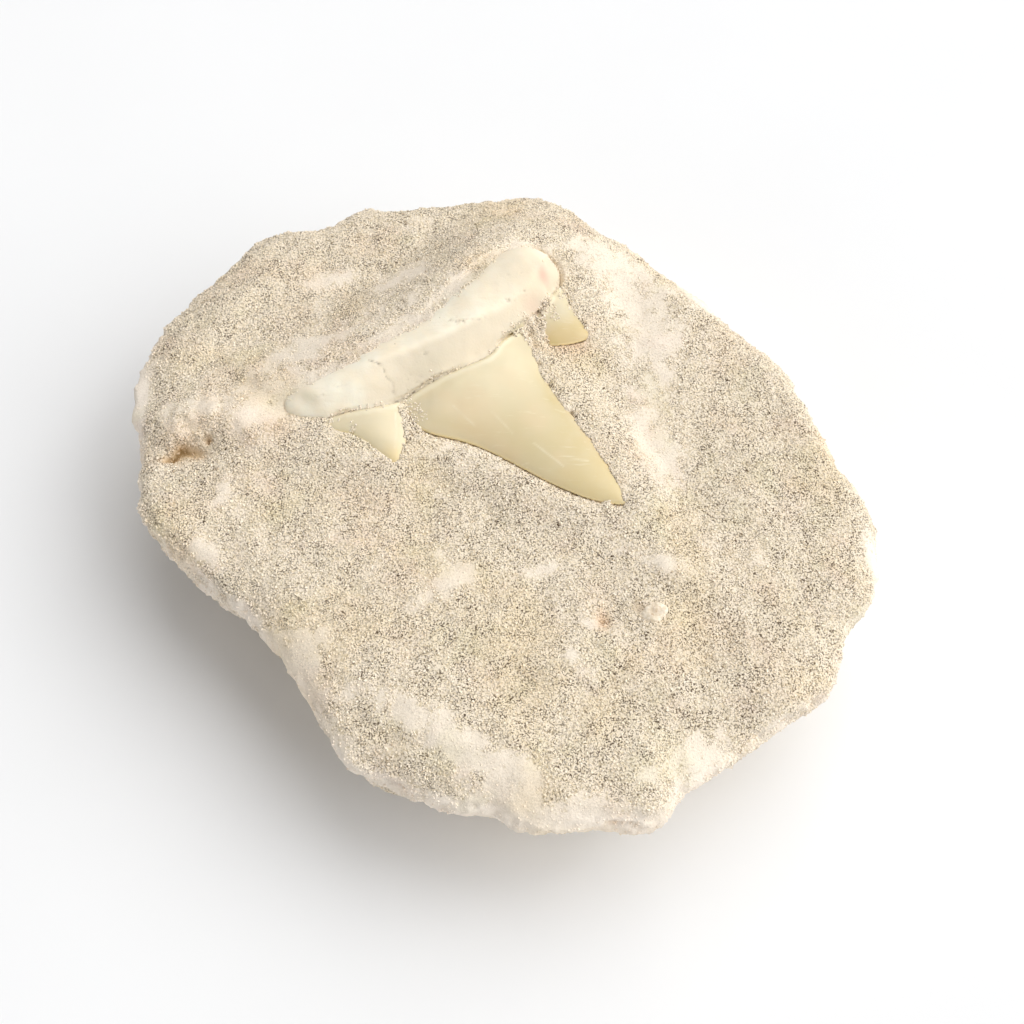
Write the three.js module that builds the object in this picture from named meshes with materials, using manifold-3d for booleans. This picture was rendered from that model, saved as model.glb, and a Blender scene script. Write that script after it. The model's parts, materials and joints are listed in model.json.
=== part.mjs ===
// A fossil shark tooth on the loose slab of sandy matrix that it was found in.
//
// Millimetres, +Z up. The slab lies on its flat broken underside in the plane z = 0, with the
// origin under the middle of the slab. The tooth lies in a pocket of the upper face, its root
// towards -X +Y and the tip of its crown towards +X -Y.

import * as THREE from 'three';
import { mergeVertices } from 'three/addons/utils/BufferGeometryUtils.js';
import Module from 'manifold-3d';

// ---- Driving dimensions -----------------------------------------------------------------------

const SLAB = {
  faceHeight: 21.8, // height of the upper face near the middle
  faceFall: 1.2, // how much lower the face is at the rim than in the middle
  rimRadius: 48, // distance from the middle at which that fall is reached
  beltHeight: 17.0, // height of the widest contour at the front
  beltRise: 2.3, // how much the widest contour climbs to the back
  rimInset: 3.0, // width of the rounded rim between the belt and the face
  undercut: 9.2, // how far the underside stays inside the widest contour, on average
  undercutVariation: 3.2, // how much more or less than that it is from place to place
  undercutWaves: 7, // how many times that changes round the slab
  undercutPower: 1.7, // above 1 the side is steep under the belt and cuts in lower down
  sideRoughness: 1.1, // unevenness of the undercut side, near the foot
  sideWaves: 26, // how many times that unevenness changes round the slab
  sectors: 96, // mesh columns round the slab
  faceRings: 14, // mesh rings across the face
  rimRings: 3, // mesh rings over the rounded rim
  sideRings: 5, // mesh rings down the undercut side
};
const FACE_WAVES = [
  { height: 0.45, along: 11, across: 8, layer: 1 }, // broad unevenness of the upper face
  { height: 0.22, along: 4.5, across: 3.6, layer: 2 },
];
const POCKET_CLEARANCE = 0.3; // gap between the matrix and what lies in it
const GROOVE_RADIUS = 0.34; // furrow between the root and the enamel

// The widest contour of the slab seen from above, counter-clockwise from its +X corner.
const BELT = [
  [48.5, -7.8], [47.6, -4.5], [44.7, 0.2], [42.7, 5.7], [40.6, 11.6], [38.8, 15.6],
  [32.0, 22.6], [26.9, 28.1], [22.9, 32.6], [18.8, 36.0], [14.7, 39.0], [11.2, 42.8],
  [7.0, 45.6], [3.9, 46.0], [-4.1, 45.2], [-11.3, 44.1], [-15.6, 43.2], [-19.0, 43.8],
  [-22.1, 42.2], [-24.3, 40.1], [-29.8, 40.1], [-34.3, 38.8], [-36.0, 36.2], [-42.8, 27.4],
  [-46.8, 20.0], [-48.4, 15.8], [-48.6, 12.5], [-48.3, 8.8], [-46.8, 5.2], [-46.5, 1.0],
  [-46.1, -3.3], [-44.4, -7.5], [-38.5, -13.1], [-33.6, -17.5], [-30.5, -19.4],
  [-27.3, -23.9], [-23.9, -28.4], [-19.0, -36.7], [-16.2, -39.5], [-12.9, -40.8],
  [-7.5, -42.8], [-4.0, -43.9], [0.4, -44.4], [3.2, -46.3], [9.6, -46.5], [13.5, -45.6],
  [16.7, -46.1], [19.3, -45.4], [21.6, -41.7], [25.4, -39.4], [29.5, -36.8], [32.7, -34.6],
  [36.5, -32.4], [40.0, -29.9], [41.6, -26.9], [42.6, -23.0], [47.5, -16.0],
];

// Swellings (height > 0) and hollows (height < 0) of the upper face: centre, half lengths along
// and across, the direction of the long axis in degrees, and the height.
const RELIEF = [
  { x: -38.0, y: 7.0, along: 6.0, across: 3.2, turn: 8, height: 2.3 }, // mound by the -X edge
  { x: -39.0, y: 1.6, along: 4.6, across: 1.7, turn: 4, height: -1.5 }, // hollow under the mound
  { x: -31.0, y: 6.8, along: 3.0, across: 1.6, turn: 40, height: 0.9 },
  { x: -20.0, y: 24.0, along: 12.0, across: 1.5, turn: 2, height: 0.9 }, // low step behind the root
  { x: -19.0, y: 21.0, along: 9.0, across: 1.4, turn: 4, height: -0.7 },
  { x: -36.0, y: 27.0, along: 8.0, across: 2.0, turn: 50, height: 0.8 },
  { x: -12.0, y: 18.5, along: 12.0, across: 3.4, turn: 38, height: 2.6 }, // sand banked on the root
  { x: -1.5, y: 29.5, along: 8.0, across: 3.6, turn: 42, height: 3.2 },
  { x: 10.6, y: 29.0, along: 4.2, across: 4.2, turn: 0, height: 2.6 }, // bank at the end of the root
  { x: -29.0, y: 9.5, along: 3.0, across: 3.0, turn: 0, height: 0.8 },
  { x: 12.0, y: 6.5, along: 13.0, across: 2.0, turn: 118, height: 1.7 }, // bank along the crown
  { x: 0.5, y: -1.0, along: 13.0, across: 3.6, turn: -27, height: 1.2 }, // and along its other side
  { x: -16.5, y: 2.5, along: 6.0, across: 3.6, turn: -25, height: 1.1 },
  { x: 9.5, y: 17.0, along: 4.5, across: 3.0, turn: 10, height: 0.9 },
  { x: 21.5, y: 19.0, along: 3.6, across: 2.4, turn: 10, height: 1.0 },
  { x: 26.0, y: 25.0, along: 5.0, across: 3.0, turn: -45, height: 1.0 },
  { x: 20.8, y: -14.6, along: 2.2, across: 1.6, turn: 0, height: 0.7 },
  { x: -3.0, y: -17.5, along: 5.0, across: 2.6, turn: 30, height: 0.7 },
  { x: 10.5, y: -8.5, along: 7.0, across: 2.6, turn: -20, height: -0.5 },
  { x: -23.0, y: -23.0, along: 7.0, across: 3.4, turn: -56, height: 0.8 }, // swelling by the scarp
  { x: 8.0, y: -26.6, along: 4.0, across: 2.2, turn: 25, height: 0.6 },
  { x: 1.0, y: -38.0, along: 8.0, across: 3.0, turn: -22, height: 0.9 },
  { x: 17.5, y: -39.5, along: 2.0, across: 1.4, turn: 30, height: 0.8 },
  { x: 33.0, y: -20.0, along: 6.0, across: 2.2, turn: 35, height: -0.6 },
  { x: -24.0, y: -28.5, along: 9.0, across: 4.2, turn: 123, height: -2.2 }, // scarps at the rim
  { x: 27.0, y: -38.5, along: 6.0, across: 3.6, turn: 32, height: -2.2 },
  { x: 9.0, y: -46.0, along: 7.0, across: 3.4, turn: 0, height: -1.8 },
  { x: -8.0, y: -43.0, along: 6.0, across: 3.0, turn: -17, height: -1.2 },
  { x: 48.0, y: -12.5, along: 4.5, across: 2.4, turn: 95, height: -1.4 },
  { x: 42.0, y: -25.5, along: 5.0, across: 3.0, turn: 65, height: -1.5 },
  { x: -48.5, y: 12.5, along: 5.5, across: 2.4, turn: 90, height: -1.6 },
  { x: -42.0, y: 27.0, along: 8.0, across: 3.0, turn: 50, height: -1.0 },
];

// Flat breaks on the undercut sides: a point of the break, the way it faces and its width.
const BREAKS = [
  { at: [8.0, -41.8, 8.0], facing: [0.0, -0.87, -0.5], span: 34 },
  { at: [-20.2, -25.8, 8.0], facing: [-0.73, -0.48, -0.5], span: 24 },
  { at: [26.3, -33.4, 8.0], facing: [0.52, -0.69, -0.5], span: 26 },
  { at: [43.5, -10.2, 8.0], facing: [0.85, -0.14, -0.5], span: 26 },
  { at: [-42.3, 0.0, 8.0], facing: [-0.87, 0.0, -0.5], span: 24 },
  { at: [-39.0, 24.7, 8.5], facing: [-0.7, 0.52, -0.5], span: 30 },
  { at: [-5.0, 40.3, 8.5], facing: [0.0, 0.87, -0.5], span: 30 },
  { at: [20.0, 29.0, 8.5], facing: [0.52, 0.69, -0.5], span: 26 },
  { at: [35.8, 10.2, 8.5], facing: [0.8, 0.35, -0.5], span: 24 },
];

// Root: a thick bar bowed towards the crown. Its middle line, then at each of those points its
// half width, its height above the line and its depth below it.
const ROOT_LINE = [
  [-27.6, 7.9, 22.9], [-20.7, 9.5, 23.3], [-13.1, 13.0, 23.8], [-6.7, 16.5, 24.2],
  [-0.8, 22.4, 24.5], [4.3, 27.7, 24.4], [8.6, 29.0, 23.6],
];
const ROOT_GIRTH = [
  [2.9, 2.0, 2.6], [3.9, 2.8, 3.2], [4.8, 3.3, 3.8], [5.1, 3.6, 4.2],
  [5.3, 4.0, 4.2], [5.4, 3.7, 3.8], [3.6, 2.4, 3.0],
];
const ROOT_END_POWER = 3.6; // how bluntly the two lobes end
const ROOT_BACK_POWER = 0.8; // below 1 the section is boxier than an ellipse: the steep back
const ROOT_FRONT_POWER = 1.25; // above 1 it is straighter: the slope down to the crown

// Blades: pairs of points across the blade from inside the root to the tip, each with how far the
// outer and inner faces swell out from the line between the two.
const CROWN = {
  stations: [
    { left: [-12.6, 9.6, 23.5], right: [1.8, 21.0, 24.3], outer: 0.8, inner: 2.6 },
    { left: [-10.7, 4.4, 23.2], right: [4.3, 17.8, 24.0], outer: 1.9, inner: 3.0 },
    { left: [-3.6, 2.2, 23.1], right: [6.2, 12.0, 23.6], outer: 1.7, inner: 2.6 },
    { left: [1.5, -0.5, 23.0], right: [8.6, 8.2, 23.4], outer: 1.4, inner: 2.2 },
    { left: [6.3, -3.4, 22.9], right: [11.3, 4.3, 23.2], outer: 1.1, inner: 1.8 },
    { left: [11.1, -5.6, 22.7], right: [14.2, -0.9, 22.9], outer: 0.8, inner: 1.3 },
    { left: [14.5, -6.4, 22.5], right: [15.9, -4.0, 22.7], outer: 0.5, inner: 0.8 },
  ],
  tip: [16.4, -6.4, 22.5],
  sides: 22,
  rows: 16,
};
const LEFT_CUSPLET = {
  stations: [
    { left: [-22.0, 7.6, 23.2], right: [-13.0, 9.4, 23.7], outer: 0.2, inner: 1.8 },
    { left: [-22.2, 4.5, 23.1], right: [-11.6, 5.9, 23.6], outer: 1.0, inner: 2.0 },
    { left: [-18.4, 3.2, 23.0], right: [-11.4, 3.9, 23.3], outer: 0.9, inner: 1.6 },
    { left: [-16.0, 1.5, 22.9], right: [-11.4, 1.9, 23.1], outer: 0.7, inner: 1.2 },
    { left: [-13.9, -0.2, 22.8], right: [-11.9, 0.2, 22.9], outer: 0.4, inner: 0.7 },
  ],
  tip: [-12.6, -1.1, 22.7],
  sides: 14,
  rows: 8,
};
const RIGHT_CUSPLET = {
  stations: [
    { left: [5.4, 20.6, 23.8], right: [6.2, 27.2, 24.2], outer: 0.5, inner: 1.8 },
    { left: [6.5, 17.4, 23.1], right: [8.9, 26.7, 24.1], outer: 1.0, inner: 2.0 },
    { left: [8.4, 17.4, 23.0], right: [9.5, 24.5, 23.7], outer: 0.9, inner: 1.6 },
    { left: [10.4, 17.9, 22.9], right: [11.1, 21.7, 23.2], outer: 0.7, inner: 1.1 },
    { left: [11.8, 18.5, 22.8], right: [12.1, 20.2, 22.9], outer: 0.4, inner: 0.6 },
  ],
  tip: [12.8, 19.1, 22.8],
  sides: 14,
  rows: 8,
};

const OUTER_LENS = 1.5; // 1 makes half of the blade's section elliptic, 2 makes it a flat arch
const INNER_LENS = 1.9;

// The furrow along the edge of the enamel, from the left lobe to the right one.
const NECK_LINE = [
  [-23.2, 5.2, 23.4], [-19.9, 6.3, 23.9], [-16.2, 6.9, 24.3], [-13.0, 7.9, 24.1],
  [-9.9, 9.5, 24.5], [-7.5, 10.9, 25.05], [-4.7, 12.3, 25.35], [-1.1, 14.2, 25.4],
  [0.6, 16.8, 25.1], [2.9, 19.3, 24.5], [5.1, 21.2, 24.5], [7.0, 24.1, 24.6],
];

// A crumb of bone and a splinter of enamel, bedded in the matrix.
const BONE = {
  at: [19.3, -20.9, 21.4],
  length: 3.8,
  width: 2.9,
  height: 2.2,
  turn: 15,
  pit: 0.45, // depth of the pit in its top
  pitNarrowness: 8,
  lumps: 0.12, // unevenness, as a share of its size
  lumpWaves: 1.3,
};
const SPLINTER = { at: [29.2, -34.6, 14.6], length: 2.8, width: 1.0, thickness: 0.7, turn: -58 };

// ---- Solids -----------------------------------------------------------------------------------

const wasm = await Module();
wasm.setup();
const MERGE_DISTANCE = 1e-4;

const vector = ([x, y, z = 0]) => new THREE.Vector3(x, y, z);
const curveThrough = (points) => new THREE.CatmullRomCurve3(points.map(vector));

// Joins the seams of a geometry, so that only shared positions are left.
function welded(geometry) {
  const plain = geometry.clone();
  plain.deleteAttribute('normal');
  plain.deleteAttribute('uv');
  return mergeVertices(plain, MERGE_DISTANCE);
}

// Moves each point of a geometry to where `place` puts it.
function shaped(geometry, place) {
  const result = welded(geometry);
  const position = result.attributes.position;
  const point = new THREE.Vector3();
  for (let i = 0; i < position.count; i += 1) {
    point.fromBufferAttribute(position, i);
    const moved = place(point.clone());
    position.setXYZ(i, moved.x, moved.y, moved.z);
  }
  return result;
}

// A closed geometry as a manifold solid, without the flat triangles left at the poles.
function solid(geometry) {
  const joined = welded(geometry);
  const { array } = joined.index;
  const corners = [];
  for (let i = 0; i < array.length; i += 3) {
    const [a, b, c] = array.subarray(i, i + 3);
    if (a !== b && b !== c && c !== a) {
      corners.push(a, b, c);
    }
  }
  const vertProperties = new Float32Array(joined.attributes.position.array);
  const manifold = (triVerts) => {
    const mesh = new wasm.Mesh({ numProp: 3, vertProperties, triVerts });
    return new wasm.Manifold(mesh);
  };
  const body = manifold(new Uint32Array(corners));
  // A mirrored placement turns the faces inwards, and listing the corners backwards mends that.
  return body.volume() > 0 ? body : manifold(new Uint32Array(corners.reverse()));
}

// A manifold solid as a geometry.
function geometryOf(body) {
  const { numProp, vertProperties, triVerts } = body.getMesh();
  const geometry = new THREE.BufferGeometry();
  const positions = new Float32Array((vertProperties.length / numProp) * 3);
  for (let i = 0; i < positions.length / 3; i += 1) {
    positions.set(vertProperties.subarray(i * numProp, i * numProp + 3), i * 3);
  }
  geometry.setAttribute('position', new THREE.BufferAttribute(positions, 3));
  geometry.setIndex(new THREE.BufferAttribute(new Uint32Array(triVerts), 1));
  geometry.computeVertexNormals();
  return geometry;
}

function pieceOf(name, body, look) {
  const mesh = new THREE.Mesh(geometryOf(body), new THREE.MeshStandardMaterial(look));
  mesh.name = name;
  return mesh;
}

// ---- Uneven stone -----------------------------------------------------------------------------

// A fixed pseudo-random value between -1 and 1 for each whole-numbered place.
function speckle(i, j, k) {
  const wave = Math.sin(i * 127.1 + j * 311.7 + k * 74.7) * 43758.5453;
  return 2 * (wave - Math.floor(wave)) - 1;
}

// Smooth noise between -1 and 1 over the plane; `layer` picks one of many such fields.
function noise(x, y, layer) {
  const i = Math.floor(x);
  const j = Math.floor(y);
  const u = THREE.MathUtils.smoothstep(x - i, 0, 1);
  const v = THREE.MathUtils.smoothstep(y - j, 0, 1);
  const near = THREE.MathUtils.lerp(speckle(i, j, layer), speckle(i + 1, j, layer), u);
  const far = THREE.MathUtils.lerp(speckle(i, j + 1, layer), speckle(i + 1, j + 1, layer), u);
  return THREE.MathUtils.lerp(near, far, v);
}

function swelling({ x, y, along, across, turn, height }, px, py) {
  const angle = THREE.MathUtils.degToRad(turn);
  const dx = px - x;
  const dy = py - y;
  const lengthwise = (dx * Math.cos(angle) + dy * Math.sin(angle)) / along;
  const crosswise = (dy * Math.cos(angle) - dx * Math.sin(angle)) / across;
  return height * Math.exp(-0.5 * (lengthwise ** 2 + crosswise ** 2));
}

// Height of the upper face at a place, before the rim rounds it off.
function faceHeight(x, y) {
  const fall = SLAB.faceFall * (Math.hypot(x, y) / SLAB.rimRadius) ** 2;
  const relief = RELIEF.reduce((sum, item) => sum + swelling(item, x, y), 0);
  const unevenness = FACE_WAVES.reduce(
    (sum, { height, along, across, layer }) => sum + height * noise(x / along, y / across, layer),
    0,
  );
  return SLAB.faceHeight - fall + relief + unevenness;
}

// ---- Matrix -----------------------------------------------------------------------------------

// Half section of the slab for a lathe: the radius is the share of the way to the belt, and the
// height is a stage: 0 underside, 0 to 1 undercut side, 1 belt, 1 to 2 rounded rim, 3 face.
function slabSection() {
  const section = [new THREE.Vector2(0, 0), new THREE.Vector2(0.5, 0)];
  for (let i = 0; i <= SLAB.sideRings; i += 1) {
    section.push(new THREE.Vector2(1, i / SLAB.sideRings));
  }
  for (let i = 1; i <= SLAB.rimRings; i += 1) {
    section.push(new THREE.Vector2(1, 1 + i / SLAB.rimRings));
  }
  for (let i = 1; i <= SLAB.faceRings; i += 1) {
    section.push(new THREE.Vector2(1 - i / SLAB.faceRings, 3));
  }
  return section;
}

function slabSolid() {
  const belt = new THREE.CatmullRomCurve3(BELT.map(vector), true, 'catmullrom', 0.3);
  const unit = new THREE.LatheGeometry(slabSection(), SLAB.sectors);
  const frontY = Math.min(...BELT.map(([, y]) => y));
  const backY = Math.max(...BELT.map(([, y]) => y));

  const place = ({ x, y: stage, z }) => {
    const share = Math.hypot(x, z);
    const around = THREE.MathUtils.euclideanModulo(Math.atan2(x, z) / (2 * Math.PI), 1);
    const edge = belt.getPointAt(around);
    const radius = edge.length();
    const inward = edge.clone().divideScalar(-radius);
    const back = THREE.MathUtils.inverseLerp(frontY, backY, edge.y);
    const beltHeight = SLAB.beltHeight + SLAB.beltRise * back;

    if (stage <= 1) {
      const drop = 1 - stage;
      const rough = SLAB.sideRoughness * drop * noise(around * SLAB.sideWaves, stage * 3, 3);
      const wander = SLAB.undercutVariation * noise(around * SLAB.undercutWaves, 0.5, 5);
      const inset = (SLAB.undercut + wander) * drop ** SLAB.undercutPower + rough;
      const level = edge.clone().addScaledVector(inward, inset).multiplyScalar(share);
      return level.setZ(beltHeight * stage);
    }
    if (stage <= 2) {
      const turn = (stage - 1) * (Math.PI / 2);
      const inset = SLAB.rimInset * (1 - Math.cos(turn));
      const level = edge.clone().addScaledVector(inward, inset);
      const top = faceHeight(level.x, level.y);
      return level.setZ(THREE.MathUtils.lerp(beltHeight, top, Math.sin(turn)));
    }
    const level = edge.clone().addScaledVector(inward, SLAB.rimInset).multiplyScalar(share);
    return level.setZ(faceHeight(level.x, level.y));
  };
  return solid(shaped(unit, place));
}

// A block whose inner side lies in the plane of a break.
function breakTool({ at, facing, span }) {
  const up = new THREE.Vector3(0, 0, 1);
  const turn = new THREE.Quaternion().setFromUnitVectors(up, vector(facing).normalize());
  const block = new THREE.BoxGeometry(span, span, span);
  block.translate(0, 0, span / 2);
  block.applyQuaternion(turn);
  block.translate(...at);
  return solid(block);
}

// ---- Tooth ------------------------------------------------------------------------------------

// The root grows from a ball whose poles become the ends of the two lobes.
function rootSolid(clearance) {
  const line = curveThrough(ROOT_LINE);
  const girth = curveThrough(ROOT_GIRTH);
  const ball = new THREE.SphereGeometry(1, 18, 26);
  const up = new THREE.Vector3(0, 0, 1);

  const place = ({ x, y, z }) => {
    const along = (1 - y) / 2;
    const ring = Math.hypot(x, z);
    const spot = line.getPoint(along);
    const ahead = line.getTangent(along);
    const [width, above, below] = girth.getPoint(along).toArray();
    const end = (1 - Math.abs(y) ** ROOT_END_POWER) ** (1 / ROOT_END_POWER);
    const towardsCrown = ring > 0 ? (1 + x / ring) / 2 : 0.5;
    const power = THREE.MathUtils.lerp(ROOT_BACK_POWER, ROOT_FRONT_POWER, towardsCrown);
    const bent = (share) => Math.sign(share) * Math.abs(share) ** power;
    const across = ring > 0 ? bent(x / ring) : 0;
    const rise = ring > 0 ? bent(z / ring) : 0;
    const depth = rise > 0 ? above : below;
    const sideways = ahead.clone().cross(up).normalize();
    spot.addScaledVector(ahead, -y * clearance);
    spot.addScaledVector(sideways, across * (width * end + clearance));
    spot.addScaledVector(up, rise * (depth * end + clearance));
    return spot;
  };
  return solid(shaped(ball, place));
}

// A blade grows from a cone: the axis of the cone runs from the first station to the tip.
function bladeSolid({ stations, tip, sides, rows }, clearance) {
  const left = curveThrough([...stations.map((station) => station.left), tip]);
  const right = curveThrough([...stations.map((station) => station.right), tip]);
  const swell = curveThrough([...stations.map(({ outer, inner }) => [outer, inner]), [0, 0]]);
  const cone = new THREE.ConeGeometry(1, 1, sides, rows);

  const place = ({ x, y, z }) => {
    const along = y + 0.5;
    const ring = 1 - along;
    const from = left.getPoint(along);
    const to = right.getPoint(along);
    const middle = from.clone().lerp(to, 0.5);
    if (ring < MERGE_DISTANCE) {
      const before = left.getPoint(0.9).lerp(right.getPoint(0.9), 0.5);
      return middle.addScaledVector(middle.clone().sub(before).normalize(), 2 * clearance);
    }
    const across = x / ring;
    const rise = -z / ring;
    const reach = to.clone().sub(from).multiplyScalar(0.5);
    const widened = reach.setLength(reach.length() + clearance);
    const { x: outer, y: inner } = swell.getPoint(along);
    middle.addScaledVector(widened, across);
    if (rise > 0) {
      middle.z += (outer + clearance) * rise ** OUTER_LENS;
    } else {
      middle.z -= (inner + clearance) * (-rise) ** INNER_LENS;
    }
    return middle;
  };
  return solid(shaped(cone, place));
}

function toothSolid(clearance) {
  return [CROWN, LEFT_CUSPLET, RIGHT_CUSPLET].reduce(
    (body, blade) => body.add(bladeSolid(blade, clearance)),
    rootSolid(clearance),
  );
}

function furrowTool() {
  const outline = new THREE.Shape();
  outline.absellipse(0, 0, GROOVE_RADIUS, GROOVE_RADIUS, 0, 2 * Math.PI);
  const options = { extrudePath: curveThrough(NECK_LINE), steps: 26, curveSegments: 6 };
  return solid(new THREE.ExtrudeGeometry(outline, { ...options, bevelEnabled: false }));
}

// ---- Small bits bedded in the matrix ----------------------------------------------------------

function boneSolid(clearance) {
  const { at, length, width, height, turn, pit, pitNarrowness, lumps, lumpWaves } = BONE;
  const ball = new THREE.SphereGeometry(1, 14, 10);
  const place = ({ x, y, z }) => {
    const lump = 1 + lumps * noise(lumpWaves * x + 5, lumpWaves * (y + z), 4);
    const dimple = z > 0 ? pit * Math.exp(-pitNarrowness * (x * x + y * y)) : 0;
    return new THREE.Vector3(
      x * lump * (length / 2 + clearance),
      y * lump * (width / 2 + clearance),
      z * (height / 2 + clearance) - dimple,
    );
  };
  const crumb = shaped(ball, place);
  crumb.rotateZ(THREE.MathUtils.degToRad(turn));
  crumb.translate(...at);
  return solid(crumb);
}

function splinterSolid(clearance) {
  const { at, length, width, thickness, turn } = SPLINTER;
  const wedge = new THREE.ConeGeometry(1, 1, 5, 1);
  wedge.rotateZ(-Math.PI / 2);
  wedge.scale(length + 2 * clearance, width / 2 + clearance, thickness / 2 + clearance);
  wedge.rotateZ(THREE.MathUtils.degToRad(turn));
  wedge.translate(...at);
  return solid(wedge);
}

// ---- The specimen -----------------------------------------------------------------------------

const beddedThings = [toothSolid, boneSolid, splinterSolid];
const stone = BREAKS.reduce((body, item) => body.subtract(breakTool(item)), slabSolid());
const matrix = beddedThings.reduce((body, thing) => body.subtract(thing(POCKET_CLEARANCE)), stone);
const tooth = toothSolid(0).subtract(furrowTool());

const sandstone = { color: 0xe3d4bb, roughness: 0.95, metalness: 0 };
const ivory = { color: 0xf1e7cc, roughness: 0.45, metalness: 0 };
const bone = { color: 0xf0e0cc, roughness: 0.8, metalness: 0 };
const honey = { color: 0xd8c588, roughness: 0.4, metalness: 0 };

const specimen = new THREE.Group();
specimen.add(pieceOf('matrix', matrix, sandstone));
specimen.add(pieceOf('tooth', tooth, ivory));
specimen.add(pieceOf('bone_crumb', boneSolid(0), bone));
specimen.add(pieceOf('enamel_splinter', splinterSolid(0), honey));

// The origin comes under the middle of the slab.
const middle = new THREE.Box3().setFromObject(specimen).getCenter(new THREE.Vector3());
specimen.position.set(-middle.x, -middle.y, 0);

export default specimen;
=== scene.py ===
"""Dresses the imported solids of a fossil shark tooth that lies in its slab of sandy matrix.

The frame is in metres. Places on the specimen are listed in millimetres in the same frame, and
`MM` turns them into metres. Each operator makes one piece, or one group of like pieces.
"""

import json
import math
from functools import partial
from itertools import product

import bmesh
import bpy
import numpy as np
from bpy.props import FloatProperty, FloatVectorProperty, IntProperty, PointerProperty
from mathutils import Matrix, Vector
from mathutils.bvhtree import BVHTree
from mathutils.kdtree import KDTree

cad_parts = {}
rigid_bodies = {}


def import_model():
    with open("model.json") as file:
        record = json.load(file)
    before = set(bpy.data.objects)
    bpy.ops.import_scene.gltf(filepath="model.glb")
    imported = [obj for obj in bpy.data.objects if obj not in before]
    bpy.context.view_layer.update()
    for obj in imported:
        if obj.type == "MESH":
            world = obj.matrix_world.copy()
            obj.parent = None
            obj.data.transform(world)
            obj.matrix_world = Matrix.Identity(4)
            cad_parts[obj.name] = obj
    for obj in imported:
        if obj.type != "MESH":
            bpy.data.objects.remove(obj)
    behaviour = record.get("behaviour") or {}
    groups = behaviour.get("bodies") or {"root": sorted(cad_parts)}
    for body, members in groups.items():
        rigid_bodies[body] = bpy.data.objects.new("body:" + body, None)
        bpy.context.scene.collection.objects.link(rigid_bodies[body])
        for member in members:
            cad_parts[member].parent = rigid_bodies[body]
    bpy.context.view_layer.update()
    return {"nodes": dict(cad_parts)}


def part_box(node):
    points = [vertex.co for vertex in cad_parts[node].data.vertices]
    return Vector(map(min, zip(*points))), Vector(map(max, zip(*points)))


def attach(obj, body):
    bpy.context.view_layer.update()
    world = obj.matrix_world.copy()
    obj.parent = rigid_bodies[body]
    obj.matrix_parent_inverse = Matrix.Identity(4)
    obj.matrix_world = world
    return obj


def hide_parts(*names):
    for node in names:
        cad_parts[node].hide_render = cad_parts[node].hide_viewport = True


bl_info = {
    "name": "Fossil shark tooth in matrix",
    "version": (1, 0, 0),
    "blender": (4, 5, 0),
    "location": "3D View > Sidebar > Fossil",
    "description": "Dresses a fossil shark tooth lying in a slab of sandy matrix",
    "category": "Object",
}

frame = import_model()
MM = 0.001
TINY = 1e-6
CLOSE_GAP = 0.03  # millimetres between the matrix and what lies in it
NECK_DUST = 0.5  # how dusty the grains on the tooth are
LOWER_LEFT = np.array((-0.62, -0.78))
UPPER_LEFT = np.array((-0.5, 0.87))
CRUMB_LAP = 0.72  # upward part of the crumb's normal where the sand laps against it
LAP_BAND, CRUMB_LAP_BAND = 0.03, 0.08  # how near to its lap a point counts as on the rim
RIGHT_END = 5.0  # millimetres along X, where the right end of the root begins

# How the sand lies against the tooth and the crumb, in millimetres.
WIDE_BANK, BANK, CRUMB_BANK = 13.0, 7.0, 3.0  # its reach behind the root, elsewhere, at the crumb
ROUGH_REACH = 10.0  # how far behind the root the bank is at its roughest
DEEP_TUCK, TUCK = 0.8, 0.45  # how far in it goes under the back of the root, and elsewhere
RISE = 0.35  # how far above the widest level of the tooth it comes, other than behind the root
NECK_CLEAR = 0.4  # strip on each side of the neck that it doesn't bank against
END_OVERLAP = 0.06  # how far it runs in over the right end of the root
DRAWN_TO_TOOTH, DRAWN_TO_BITS = 0.7, 0.5  # how near the ground has to be to be drawn up
RELAX_SHARE, RELAX_ROUNDS = 0.6, 14  # how strongly and how often the bank is evened out

# The relief, in millimetres: how wide each feature is, and how high or deep.
FURROW_WIDTH = 0.17
FILL_WIDTH, FILL_HEIGHT = 0.5, 0.27  # the sand and bone that fill the neck beside the furrow
LIP_PLACE, LIP_WIDTH, LIP_HEIGHT = 0.6, 0.3, 0.08  # the rolled edge of the enameloid
RIDGE_WIDTH, RIDGE_HEIGHT = 0.9, 0.12
FRONT_DEPTH, FRONT_EDGE = 0.2, 1.5  # the flatter face of the root, and how it meets the neck
CRACK_WIDTH, CRACK_DEPTH = 0.13, 0.12
SCRATCH_WIDTH, SCRATCH_HEIGHT = 0.11, 0.015
PIT_DEPTH = 0.16
DUST_HEIGHT, HOLLOW_DEPTH = 0.18, 0.8
LOWEST_RIM = 21.0  # the lowest level at which the ground meets the tooth
UPPER_GROUND, LOWER_GROUND = 15.0, 10.0  # levels above which the ground is banked up, or covered
CROWN_LEFT, CROWN_RIGHT = -11.0, 13.0  # the ends of the crown's lower left edge, along X

# ---- Places on the specimen, in millimetres ----

# The edge of the enameloid along the root, from the left lobe to the right one.
NECK_LINE = (
    (-23.2, 5.5, 23.4), (-19.9, 6.6, 23.9), (-16.2, 7.2, 24.3), (-13, 8.2, 24.1), (-9.9, 10, 24.6),
    (-7.5, 11.4, 25.1), (-4.7, 12.6, 25.35), (-1.1, 14.5, 25.4), (0.6, 17.1, 25.1), (2.9, 19.6, 24.5),
    (5.1, 21.5, 24.5), (7, 24.4, 24.6),
)
# Tips of the crown and the cusplets, each with its length from the neck.
TIPS = ((16.4, -6.1, 25), (-12.6, -0.8, 7.6), (12.8, 19.4, 6.4))
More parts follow.
